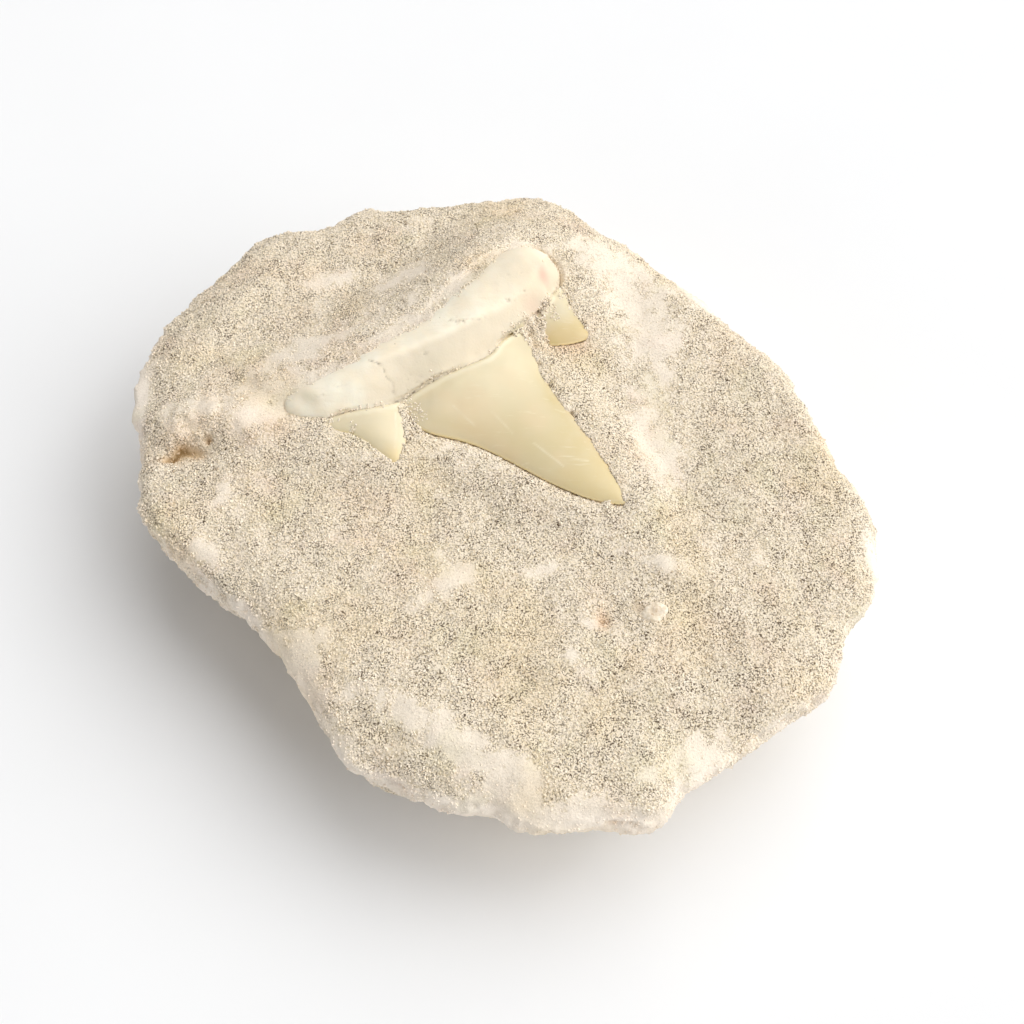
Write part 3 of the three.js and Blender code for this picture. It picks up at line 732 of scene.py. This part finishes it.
class StoneSettings(bpy.types.PropertyGroup):
    """The slab of matrix."""

    voxel: metres("Mesh size", "Edge length of the slab's mesh", 0.5 * MM)
    gap: metres("Gap", "Open gap along the lower left edges of the crown", 0.12 * MM)
    cement: tint("Cement", "Colour of the cement where it is darker", "#E1D1B4")
    # The dust and chalk colours also serve as painted light on the sloping sides of the slab.
    dust: tint("Dust", "Colour of the pale dust", "#F8EBD8")
    chalk: tint("Chalk", "Colour of the chalky rim", "#FFF3E3")


class SandSettings(bpy.types.PropertyGroup):
    """The grains that stand proud of the slab and lie on the tooth."""

    spacing: metres("Spacing", "Least distance between grains", 0.31 * MM)
    grain: metres("Grain", "Mean width of a grain", 0.41 * MM)
    neck_spacing: metres("Neck spacing", "Least distance between grains on the tooth", 0.27 * MM)
    neck_grain: metres("Neck grain", "Mean width of a grain on the tooth", 0.38 * MM)
    quartz: tint("Quartz", "Colour of the palest grains", "#FAEEDA")
    sectors: IntProperty(name="Pieces", description="Sectors that the grains are split into", default=5)
    seed: IntProperty(name="Seed", description="Picks the places of the grains", default=7)


# ---- Stage ----

SKY_COLOUR = (0.968, 0.977, 0.995, 1)  # linear


class FOSSIL_OT_stage(bpy.types.Operator):
    """Sets up the camera, the soft light and the pale surface"""

    bl_idname = "fossil.stage"
    bl_label = "Stage"

    def execute(self, context):
        settings = context.scene.fossil_stage
        camera = new_object("Camera", bpy.data.cameras.new("Camera"))
        context.scene.camera = camera
        camera.data.lens = 50
        camera.data.sensor_width = 36
        camera.data.clip_start = 0.01
        back = Vector((0, -math.cos(settings.elevation), math.sin(settings.elevation)))
        camera.location = Vector(settings.aim) + settings.distance * back
        camera.rotation_euler = (math.pi / 2 - settings.elevation, 0, 0)

        context.scene.view_settings.view_transform = "Standard"
        world = bpy.data.worlds.new("Studio")
        context.scene.world = world
        world.use_nodes = True
        background = world.node_tree.nodes["Background"]
        background.inputs["Color"].default_value = SKY_COLOUR
        background.inputs["Strength"].default_value = settings.sky

        for name in ("Key", "Fill", "Low"):
            power, turn, height = (
                getattr(settings, f"{name.lower()}_{part}") for part in ("power", "turn", "height")
            )
            light = new_object(name, bpy.data.lights.new(name, "AREA"))
            light.data.shape = "DISK"
            light.data.size = settings.light_size
            light.data.energy = power
            level = math.cos(height)
            way = Vector((level * math.cos(turn), level * math.sin(turn), math.sin(height)))
            light.location = settings.light_distance * way
            light.rotation_euler = way.to_track_quat("Z", "Y").to_euler()

        bpy.ops.mesh.primitive_plane_add(size=settings.floor_size)
        floor = context.object
        floor.name = "floor"
        floor.data.materials.append(paper_material())
        return {"FINISHED"}


# ---- Tooth ----


class FOSSIL_OT_tooth(bpy.types.Operator):
    """Makes the tooth: the root and the enameloid of its crown and cusplets, in one piece"""

    bl_idname = "fossil.tooth"
    bl_label = "Tooth"

    def execute(self, context):
        settings = context.scene.fossil_tooth
        piece = merged_copy("tooth", "tooth_surface")
        run_modifiers(
            piece,
            ("SUBSURF", TWICE),
            ("REMESH", {**VOXELS, "voxel_size": settings.voxel}),
            ("SMOOTH", {"factor": 0.5, "iterations": 6}),
        )
        points, normals = points_of(piece), normals_of(piece)
        away, side = from_line(points, smooth_line(NECK_LINE))
        up = smooth_step(normals[:, 2], 0.0, 0.4)
        signed = away * side + 0.12 * rough(points, 1.1, 21)
        enamel = smooth_step(signed, -0.1, 0.2)
        root = 1 - enamel

        wobble = np.abs(away * side + 0.1 * rough(points, 0.7, 20))
        furrow = bell(wobble, FURROW_WIDTH) * up * np.clip(0.6 + 0.9 * rough(points, 1.3, 22), 0, 1)
        furrow *= 1 - 0.75 * smooth_step(points[:, 0], 4.6, 5.6)
        filled = bell(away, FILL_WIDTH) * up
        ridge_away, ridge_side = from_line(points, smooth_line(RIDGE))
        # The flatter front face of the root, between the ridge and the neck: it is sunk a little, and painted
        # shade darkens its colour.
        front = smooth_step(ridge_away * ridge_side, 0.0, 1.2) * root
        front *= smooth_step(points[:, 0], -19.0, -11.0)
        ridge = bell(ridge_away, RIDGE_WIDTH) * root
        crack_away = from_line(points + 0.15 * rough(points, 1.0, 23)[:, None], smooth_line(CRACK))[0]
        crack = bell(crack_away, CRACK_WIDTH) * up * smooth_step(rough(points, 0.8, 24), -0.6, 0.3)
        crack *= 0.4 + 0.8 * blotches(points, WIDE_CRACK)
        pits = blotches(points, PITS) * smooth_step(rough(points, 0.5, 25), -0.1, 0.4) * up
        scratch = sum(
            bell(from_line(points, smooth_line(line))[0], SCRATCH_WIDTH) for line in SCRATCHES
        ) * up * smooth_step(rough(points, 1.4, 29), -0.8, 0.2)
        lip = bell(signed - LIP_PLACE, LIP_WIDTH) * up
        depth = settings.furrow / MM * furrow - FILL_HEIGHT * filled + CRACK_DEPTH * crack
        depth += PIT_DEPTH * pits - LIP_HEIGHT * lip
        depth += FRONT_DEPTH * front * (1 - bell(away, FRONT_EDGE)) - RIDGE_HEIGHT * ridge
        swell = root * (0.12 * rough(points, 4.5, 26) + 0.05 * rough(points, 1.6, 27))
        swell += enamel * (0.02 * rough(points, 4.0, 28) + SCRATCH_HEIGHT * scratch)
        move_points(piece, points + normals * (swell - depth)[:, None])

        reach = np.max(
            [1 - np.hypot(points[:, 0] - x, points[:, 1] - y) / length for x, y, length in TIPS], axis=0
        )
        # Painted light on the sloping sides of the enameloid that face lower left, away from the lamps, and
        # its golden edge.
        worn_edge = np.clip(normals[:, :2] @ LOWER_LEFT, 0, 1) * (1 - smooth_step(normals[:, 2], 0.5, 0.97))
        back = root * (1 - smooth_step(normals[:, 2], 0.25, 0.7)) * smooth_step(normals[:, 1], -0.1, 0.2)
        patches = {
            "stain": STAINS, "grey_end": GREY_END, "dull": DARKER_ROOT_AND_SHADE, "honey": HONEY,
            "pale_glaze": PALE_GLAZE_AND_PAINTED_LIGHT, "tan": TAN,
        }
        write_attributes(
            piece, enamel=enamel, reach=reach, front=front, dusty=back,
            worn_edge=enamel * smooth_step(worn_edge, 0.05, 0.5),
            sandy=furrow + 0.8 * crack + 0.6 * pits,
            scratch=np.clip(0.45 * scratch + 0.5 * lip, 0, 1) * enamel,
            **{name: blotches(points, places) for name, places in patches.items()},
        )
        finish_piece(piece, "tooth", "tooth", material=tooth_material(settings))
        return {"FINISHED"}


# ---- Small bits ----


class FOSSIL_OT_small_bits(bpy.types.Operator):
    """Makes the crumb of bone and the splinter of enameloid that lie in the matrix"""

    bl_idname = "fossil.small_bits"
    bl_label = "Small bits"

    def execute(self, context):
        crumb = merged_copy("bone_crumb", "bone_crumb_surface")
        run_modifiers(crumb, ("SUBSURF", TWICE))
        points, normals = points_of(crumb), normals_of(crumb)
        low, high = (np.array(corner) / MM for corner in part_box("bone_crumb"))
        middle = (low + high) / 2
        rim = np.hypot(*((points - middle) / (high - low))[:, :2].T)
        lumps = 0.16 * rough(points, 1.1, 31) + 0.09 * rough(points, 0.55, 32)
        move_points(crumb, points + normals * lumps[:, None])
        write_attributes(crumb, hollow=bell(rim, 0.2) * (normals[:, 2] > 0))
        finish_piece(crumb, "bone", "bone_crumb", material=bone_material())

        splinter = merged_copy("enamel_splinter", "enamel_splinter_surface")
        run_modifiers(
            splinter,
            ("BEVEL", {"width": 0.08 * MM, "segments": 2, "limit_method": "ANGLE"}),
            ("SUBSURF", {**TWICE, "subdivision_type": "SIMPLE"}),
        )
        points, normals = points_of(splinter), normals_of(splinter)
        move_points(splinter, points + normals * (0.03 * rough(points, 0.5, 33))[:, None])
        finish_piece(splinter, "enamel", "enamel_splinter", material=splinter_material())
        return {"FINISHED"}


# ---- Slab ----


def stone_relief(points, normals):
    """How far each point of the slab moves out along its normal, in millimetres."""
    side = 1 - smooth_step(normals[:, 2], 0.45, 0.85)
    base = smooth_step(-normals[:, 2], 0.7, 0.95) * (1 - smooth_step(points[:, 2], 0.2, 1.2))
    face = 0.2 * rough(points, 4.5, 41) + 0.13 * rough(points, 2.1, 42) + 0.09 * rough(points, 1.1, 43)
    face += 0.45 * blotches(points, LUMPY) * rough(points, 1.4, 48)
    ledges = points * (0.6, 0.6, 2.0)
    broken = 0.6 * rough(ledges, 5.0, 44) + 0.9 * (0.3 - np.abs(rough(ledges, 3.0, 45)))
    broken += 0.6 * (0.3 - np.abs(rough(points, 1.5, 46)))
    relief = face + side * broken
    return relief * (1 - base) - 0.25 * base * smooth_step(rough(points, 3.0, 47), 0.0, 0.6)


def open_edges(points, normals):
    """True along the lower left edge of the crown, where no sand lies against it."""
    away, side = from_line(points, smooth_line(NECK_LINE))
    filled = blotches(points, SPRINKLED) > 0.3
    crown = (points[:, 0] > CROWN_LEFT) & (points[:, 0] < CROWN_RIGHT)
    return crown & (normals[:, :2] @ LOWER_LEFT > 0.25) & (away * side > 0.5) & ~filled


def root_back(points, normals):
    """True on the side of the root that faces away from the crown, and on its right end."""
    _, side = from_line(points, smooth_line(NECK_LINE))
    back = (normals[:, :2] @ UPPER_LEFT > 0.2) | (normals[:, 1] > 0.15)
    back |= (normals[:, 0] > 0.5) & (points[:, 0] > 4)
    return (side < 0) & back


def lap(points):
    """The upward part of the root's normal where the sand laps against it: less at its right end."""
    return 0.88 - 0.28 * smooth_step(points[:, 0], RIGHT_END - 6, RIGHT_END - 1.5)


def boxed(points, corners, margin):
    """True for each point inside the box round the corners, widened by a margin."""
    inside = (points > corners.min(0) - margin) & (points < corners.max(0) + margin)
    return np.all(inside, axis=1)


def fit_round(points, piece, reach, gaps):
    """Points near a piece are drawn up to it: `gaps` has the gap that is kept at each of its faces,
    or nan at a face where they stay as they are."""
    tree = surface_tree(piece)
    for i in np.nonzero(boxed(points, points_of(piece), reach))[0]:
        spot, normal, face, distance = tree.find_nearest(Vector(points[i] * MM), reach * MM)
        if spot is None or np.isnan(gaps[face]):
            continue
        spot, normal = np.array(spot) / MM, np.array(normal)
        distance /= MM
        if (points[i] - spot) @ normal > 0 and distance > TINY:
            kept = max(gaps[face], reach * (distance / reach) ** 3)
            points[i] = spot + (points[i] - spot) / distance * kept
        else:
            points[i] = spot + normal * gaps[face]
    return points


def covered_by(points, piece, bared=None):
    """True for each point under the piece, other than under its faces that are `bared`."""
    tree = surface_tree(piece)
    corners = points_of(piece)
    top = corners[:, 2].max() + 0.5
    near = boxed(points[:, :2], corners[:, :2], 0.5) & (points[:, 2] > LOWER_GROUND)
    result = np.zeros(len(points), bool)
    for i in np.nonzero(near)[0]:
        start = Vector((points[i, 0], points[i, 1], top)) * MM
        spot, _, face, _ = tree.ray_cast(start, Vector((0, 0, -1)), (top - points[i, 2]) * MM)
        result[i] = spot is not None and not (bared is not None and bared[face])
    return result


def bank_up(points, piece, covered, rim, rises, widths, tucks):
    """Brings the ground round a piece up to points on its rim: at each of them, how far above it,
    how far out that reaches, and how far in under the piece. Also gives how much each point of the
    ground moved, and how far it is from a part of the rim with a wide bank."""
    corners = points_of(piece)
    tree = KDTree(len(rim))
    for corner in rim:
        tree.insert((*corners[corner, :2], 0), corner)
    tree.balance()
    near = boxed(points[:, :2], corners[:, :2], widths.max()) & (points[:, 2] > UPPER_GROUND)
    shares, from_wide = np.zeros(len(points)), np.full(len(points), np.inf)
    for i in np.nonzero(near)[0]:
        found = tree.find_n((*points[i, :2], 0), 6)
        _, closest, away = found[0]
        if covered[i] and away > tucks[closest]:
            continue
        beyond = min(away / widths[closest], 1)
        shares[i] = 1 - 0.5 * (beyond + smooth_step(beyond, 0, 1))
        height = np.mean([corners[corner, 2] for _, corner, _ in found]) + rises[closest]
        points[i, 2] += shares[i] * (height - points[i, 2])
        if widths[closest] >= WIDE_BANK:
            from_wide[i] = away
    return points, shares, from_wide


def fill_notches(piece):
    """Adds the lumps of sand that fill the narrow notches between the crown and the cusplets."""
    shape = bmesh.new()
    shape.from_mesh(piece.data)
    for *middle, half_x, half_y, half_z in NOTCHES:
        place = Matrix.Translation(Vector(middle) * MM) @ Matrix.Diagonal((half_x, half_y, half_z, 1))
        bmesh.ops.create_icosphere(shape, subdivisions=3, radius=MM, matrix=place)
    shape.to_mesh(piece.data)
    shape.free()


class FOSSIL_OT_stone(bpy.types.Operator):
    """Makes the slab of matrix, drawn up to the tooth and the small bits"""

    bl_idname = "fossil.stone"
    bl_label = "Slab"

    def execute(self, context):
        settings = context.scene.fossil_stone
        piece = merged_copy("matrix", "matrix_surface")
        fill_notches(piece)
        run_modifiers(
            piece,
            ("REMESH", {**VOXELS, "voxel_size": settings.voxel}),
            ("SMOOTH", {"factor": 0.5, "iterations": 4}),
        )
        tooth = bpy.data.objects["tooth_surface"]
        corners, facing = points_of(tooth), normals_of(tooth)
        behind = root_back(corners, facing)
        bare = open_edges(corners, facing)
        lapped = behind & (np.abs(facing[:, 2] - lap(corners)) < LAP_BAND)
        level = ~behind & (np.abs(facing[:, 2]) < 0.2) & (corners[:, 2] > LOWEST_RIM)
        level &= from_line(corners, NECK_LINE[1:-1])[0] >= NECK_CLEAR
        rises = np.where(behind, 0.0, RISE)
        widths = np.where(behind, WIDE_BANK, BANK)
        tucks = np.where(behind, DEEP_TUCK, np.where(bare, 0.0, TUCK))
        tucks[behind & (corners[:, 0] > RIGHT_END)] = 0.0
        rim = np.nonzero(lapped | level)[0]
        middles, outward = faces_of(tooth)
        bared = root_back(middles, outward) & (outward[:, 2] < lap(middles))
        gaps = np.where(open_edges(middles, outward), settings.gap / MM, np.nan)
        gaps[root_back(middles, outward) & (middles[:, 0] > RIGHT_END)] = -END_OVERLAP

        points, normals = points_of(piece), normals_of(piece)
        dust = blotches(points, PALE_DUST)
        open_sand = blotches(points, OPEN_SAND)
        # The hollows are sunk, and painted shadow darkens them.
        hollow = blotches(points, SHADOWED_HOLLOWS)
        tilt = 1 - smooth_step(normals[:, 2], 0.5, 0.85)

        relief = stone_relief(points, normals)
        points = points + normals * relief[:, None]
        points[:, 2] += DUST_HEIGHT * np.clip(dust, 0, 1) - HOLLOW_DEPTH * hollow
        points[:, 2] = np.maximum(points[:, 2], 0)

        covered = covered_by(points, tooth, bared)
        covered |= blotches(points, [(x, y, w, l, 0, 1.0) for x, y, _, w, l, _ in NOTCHES]) > 0.6
        bumps = 0.14 * rough(points, 2.3, 55) + 0.12 * rough(points, 1.2, 56)
        points, banked, away = bank_up(points, tooth, covered, rim, rises, widths, tucks)
        points = relax(piece, points, RELAX_SHARE * banked * ~covered, RELAX_ROUNDS)
        points[:, 2] += bumps * banked * np.where(away < ROUGH_REACH, 1.0, 0.4)
        points = fit_round(points, tooth, DRAWN_TO_TOOTH, gaps)
        crumb = bpy.data.objects["bone_crumb_surface"]
        upward = normals_of(crumb)[:, 2]
        rim = np.nonzero(np.abs(upward - CRUMB_LAP) < CRUMB_LAP_BAND)[0]
        covered = covered_by(points, crumb, faces_of(crumb)[1][:, 2] < CRUMB_LAP)
        level = np.zeros(len(upward))
        points, _, _ = bank_up(points, crumb, covered, rim, level, level + CRUMB_BANK, level)
        for name in ("bone_crumb_surface", "enamel_splinter_surface"):
            bit = bpy.data.objects[name]
            points = fit_round(points, bit, DRAWN_TO_BITS, np.full(len(bit.data.polygons), CLOSE_GAP))
        move_points(piece, points)

        normals = normals_of(piece)
        speckle = 0.5 * rough(points, 2.6, 51) + 0.35 * rough(points, 1.3, 52) + 0.3 * rough(points, 7.0, 53)
        patchy = 1 + 0.7 * rough(points, 1.9, 57) + 0.5 * rough(points, 1.1, 58)
        # Pale dust, with painted light on the sloping sides where tilt adds to it, and paler ground next to
        # the back of the root.
        dust = 0.26 + 0.8 * dust * patchy + 0.12 * tilt + 0.5 * speckle - 0.4 * open_sand
        dust += 0.25 * bell(away, 2.0)
        dust = 0.05 + 0.4 * dust + 0.6 * smooth_step(dust, 0.2, 0.8)
        at_rim = smooth_step(points[:, 2], 10.0, 15.0) * (1 - smooth_step(points[:, 2], 18.5, 20.8))
        # The chalky rim, with painted light: more of it on the sloping sides that face lower left, away from
        # the lamps.
        lower_left = np.clip(normals[:, :2] @ LOWER_LEFT, 0, 1)
        chalk = (0.5 + 0.5 * lower_left) * tilt * at_rim * (0.8 + 0.7 * rough(points, 2.5, 54))
        chalk += blotches(points, CHALK)
        cover = (0.45 + 0.55 * smooth_step(normals[:, 2], -0.35, 0.1)) * ~covered_by(points, tooth)
        cover *= smooth_step(points[:, 2], 0.5, 1.5) * (1 - 0.5 * smooth_step(hollow, 0.3, 0.7))
        cover *= 1 - 0.4 * smooth_step(dust, 0.5, 1.0)
        cover *= 1 - 0.4 * smooth_step(chalk, 0.3, 0.9)
        rosy = blotches(points, ROSY)
        write_attributes(piece, dust=dust, chalk=chalk, hollow=hollow, rosy=rosy, cover=cover)
        finish_piece(piece, "matrix", "matrix", material=matrix_material(settings))
        return {"FINISHED"}


# ---- Sand ----


def grain_shapes(count, seed):
    """A hidden collection of sand grains about 1 across: blocks worn round, each a little off."""
    random = np.random.default_rng(seed)
    shapes = bpy.data.collections.new("grain_shapes")
    for number in range(count):
        shape = bmesh.new()
        rings = []
        for height, turn in ((-0.38, 0.0), (0.38, math.pi / 4)):
            ring = []
            for corner in range(4):
                angle = turn + corner * math.pi / 2 + random.uniform(-0.25, 0.25)
                radius = 0.5 * random.uniform(0.8, 1.1)
                level = height * random.uniform(0.75, 1.1)
                spot = (radius * math.cos(angle), radius * math.sin(angle), level)
                ring.append(shape.verts.new(spot))
            rings.append(ring)
        bottom, top = rings
        shape.faces.new(reversed(bottom))
        shape.faces.new(top)
        for i in range(4):
            after = (i + 1) % 4
            shape.faces.new((bottom[i], bottom[after], top[i]))
            shape.faces.new((top[i], bottom[after], top[after]))
        bmesh.ops.triangulate(shape, faces=shape.faces)
        bmesh.ops.recalc_face_normals(shape, faces=shape.faces)
        mesh = bpy.data.meshes.new(f"grain_shape_{number}")
        shape.to_mesh(mesh)
        shape.free()
        shapes.objects.link(bpy.data.objects.new(mesh.name, mesh))
    return shapes


SAND_INPUTS = {
    "Geometry": "Geometry", "Spacing": "Float", "Grain": "Float", "Sector": "Float", "Sectors": "Float",
    "Seed": "Int", "Shapes": "Collection", "Material": "Material",
}


def sand_tree():
    """Geometry nodes that scatter grains over a surface, thinned by its `cover` attribute."""
    tree = bpy.data.node_groups.new("Sand grains", "GeometryNodeTree")
    for name, kind in SAND_INPUTS.items():
        tree.interface.new_socket(name=name, in_out="INPUT", socket_type="NodeSocket" + kind)
    tree.interface.new_socket(name="Geometry", in_out="OUTPUT", socket_type="NodeSocketGeometry")
    add = partial(add_node, tree)
    given = add("NodeGroupInput").outputs

    def chance(low, high, salt, kind="FLOAT"):
        """A random number, or vector, for each grain."""
        first = {"FLOAT_VECTOR": 0, "FLOAT": 2}[kind]
        seed = add("ShaderNodeMath", {0: given["Seed"], 1: salt}, operation="ADD")
        return add("FunctionNodeRandomValue", {first: low, first + 1: high, "Seed": seed}, data_type=kind)

    # The sector of the surface that gets grains, counted round from the left.
    axes = add("ShaderNodeSeparateXYZ", {0: add("GeometryNodeInputPosition")}).outputs
    turn = add("ShaderNodeMath", {0: axes["Y"], 1: axes["X"]}, operation="ARCTAN2")
    turns = add("ShaderNodeMath", {0: turn, 1: 2 * math.pi}, operation="DIVIDE")
    turns = add("ShaderNodeMath", {0: turns, 1: 0.5}, operation="ADD")
    passed = add("ShaderNodeMath", {0: turns, 1: given["Sectors"]}, operation="MULTIPLY")
    index = add("ShaderNodeMath", {0: passed}, operation="FLOOR")
    mine = add("ShaderNodeMath", {0: index, 1: given["Sector"], 2: 0.1}, operation="COMPARE")

    # Points on it, as dense as their spacing allows.
    area = add("ShaderNodeMath", {0: given["Spacing"], 1: given["Spacing"]}, operation="MULTIPLY")
    cover, tone, dust = (
        add("GeometryNodeInputNamedAttribute", {"Name": name}, data_type="FLOAT")
        for name in ("cover", "tone", "dust")
    )
    scattered = add(
        "GeometryNodeDistributePointsOnFaces",
        {
            "Mesh": given["Geometry"], "Selection": mine, "Distance Min": given["Spacing"],
            "Density Max": add("ShaderNodeMath", {0: 4.0, 1: area}, operation="DIVIDE"),
            "Density Factor": cover, "Seed": given["Seed"],
        },
        distribute_method="POISSON",
    ).outputs

    # Each grain is sunk in a little, and has a tone of its own.
    sunk = add("ShaderNodeMath", {0: given["Grain"], 1: chance(-0.42, -0.08, 1)}, operation="MULTIPLY")
    offset = add("ShaderNodeVectorMath", {0: scattered["Normal"], "Scale": sunk}, operation="SCALE")
    lifted = add("GeometryNodeSetPosition", {"Geometry": scattered["Points"], "Offset": offset})
    toned = add(
        "GeometryNodeStoreNamedAttribute",
        {"Geometry": lifted, "Name": "tone", "Value": chance(0.0, 1.0, 2)},
        data_type="FLOAT", domain="POINT",
    )

    # Dark grains and dusty ones are smaller.
    dark = add("ShaderNodeMapRange", {0: tone, 1: 0.14, 2: 0.17, 3: 0.55, 4: 1.0}, **SOFT)
    dusty = add("ShaderNodeMapRange", {0: dust, 1: 0.4, 2: 0.9, 3: 1.0, 4: 0.65}, **SOFT)
    width = add("ShaderNodeMath", {0: given["Grain"], 1: dark}, operation="MULTIPLY")
    width = add("ShaderNodeMath", {0: width, 1: dusty}, operation="MULTIPLY")
    shape = chance((0.7, 0.7, 0.6), (1.4, 1.4, 1.1), 3, "FLOAT_VECTOR")
    size = add("ShaderNodeVectorMath", {0: shape, "Scale": width}, operation="SCALE")
    shapes = add(
        "GeometryNodeCollectionInfo",
        {"Collection": given["Shapes"], "Separate Children": True, "Reset Children": True},
    )
    placed = add("GeometryNodeInstanceOnPoints", {
        "Points": toned, "Instance": shapes, "Pick Instance": True, "Scale": size,
        "Rotation": chance((0, 0, 0), (2 * math.pi,) * 3, 4, "FLOAT_VECTOR"),
    })
    real = add("GeometryNodeRealizeInstances", {"Geometry": placed})
    painted = add("GeometryNodeSetMaterial", {"Geometry": real, "Material": given["Material"]})
    add("NodeGroupOutput", {"Geometry": painted})
    return tree


def scatter(surface, name, tree, **inputs):
    """A new piece with the grains that a tree scatters over a surface."""
    piece = new_object(name, surface.data.copy())
    modifier = piece.modifiers.new("Sand", "NODES")
    modifier.node_group = tree
    sockets = {s.name: s.identifier for s in tree.interface.items_tree if s.in_out == "INPUT"}
    for key, value in inputs.items():
        modifier[sockets[key]] = value
    keep_result(piece)
    return piece


class FOSSIL_OT_sand(bpy.types.Operator):
    """Scatters the grains of sand over the slab, in sectors, and in the furrow of the tooth"""

    bl_idname = "fossil.sand"
    bl_label = "Sand"

    def execute(self, context):
        settings = context.scene.fossil_sand
        tree, shapes = sand_tree(), grain_shapes(6, settings.seed)
        material = sand_material(settings, context.scene.fossil_stone)
        stone = bpy.data.objects["matrix_surface"]
        common = {
            "Spacing": settings.spacing, "Grain": settings.grain, "Seed": settings.seed,
            "Shapes": shapes, "Material": material,
        }
        for sector in range(settings.sectors):
            piece = scatter(
                stone, f"sand_grains_{sector + 1}", tree,
                Sector=float(sector), Sectors=float(settings.sectors), **common,
            )
            finish_piece(piece, "matrix")

        tooth = bpy.data.objects["tooth_surface"]
        points, normals = points_of(tooth), normals_of(tooth)
        away, side = from_line(points, smooth_line(NECK_LINE))
        ragged = 0.35 * rough(points, 1.0, 62)
        caught = 0.8 * bell(away, 0.3) * smooth_step(rough(points, 1.5, 61), -0.5, 0.3)
        caught += smooth_step(blotches(points, SPRINKLED) + ragged, 0.35, 0.6)
        back = (side < 0) * smooth_step(normals[:, 1], -0.1, 0.2)
        caught += 0.9 * back * smooth_step(lap(points) + 0.05 - normals[:, 2] + 0.3 * ragged, 0.0, 0.1)
        caught = np.clip(caught, 0, 1) * (normals[:, 2] > 0.1)
        write_attributes(tooth, cover=caught, dust=np.full(len(points), NECK_DUST))
        neck_common = {**common, "Spacing": settings.neck_spacing, "Grain": settings.neck_grain}
        piece = scatter(tooth, "neck_sand", tree, Sector=0.0, Sectors=1.0, **neck_common)
        finish_piece(piece, "matrix")
        for shape in list(shapes.objects):
            bpy.data.objects.remove(shape)
        bpy.data.collections.remove(shapes)
        return {"FINISHED"}


# ---- Panel and registration ----


class FOSSIL_PT_panel(bpy.types.Panel):
    """Lists the specimen's pieces and their settings"""

    bl_idname = "FOSSIL_PT_panel"
    bl_label = "Fossil shark tooth"
    bl_space_type = "VIEW_3D"
    bl_region_type = "UI"
    bl_category = "Fossil"

    def draw(self, context):
        for operator, settings in STEPS:
            box = self.layout.box()
            box.operator(operator.bl_idname)
            if settings:
                group = getattr(context.scene, settings)
                for name in group.__annotations__:
                    box.prop(group, name)


STEPS = (
    (FOSSIL_OT_stage, "fossil_stage"),
    (FOSSIL_OT_tooth, "fossil_tooth"),
    (FOSSIL_OT_small_bits, None),
    (FOSSIL_OT_stone, "fossil_stone"),
    (FOSSIL_OT_sand, "fossil_sand"),
)
GROUPS = {
    "fossil_stage": StageSettings,
    "fossil_tooth": ToothSettings,
    "fossil_stone": StoneSettings,
    "fossil_sand": SandSettings,
}
CLASSES = (*GROUPS.values(), *(operator for operator, _ in STEPS), FOSSIL_PT_panel)


def register():
    for entry in CLASSES:
        bpy.utils.register_class(entry)
    for name, group in GROUPS.items():
        setattr(bpy.types.Scene, name, PointerProperty(type=group))


def unregister():
    for name in GROUPS:
        delattr(bpy.types.Scene, name)
    for entry in reversed(CLASSES):
        bpy.utils.unregister_class(entry)


def main():
    register()
    bpy.ops.fossil.stage()
    bpy.ops.fossil.tooth()
    bpy.ops.fossil.small_bits()
    bpy.ops.fossil.stone()
    bpy.ops.fossil.sand()


if __name__ == "__main__":
    main()
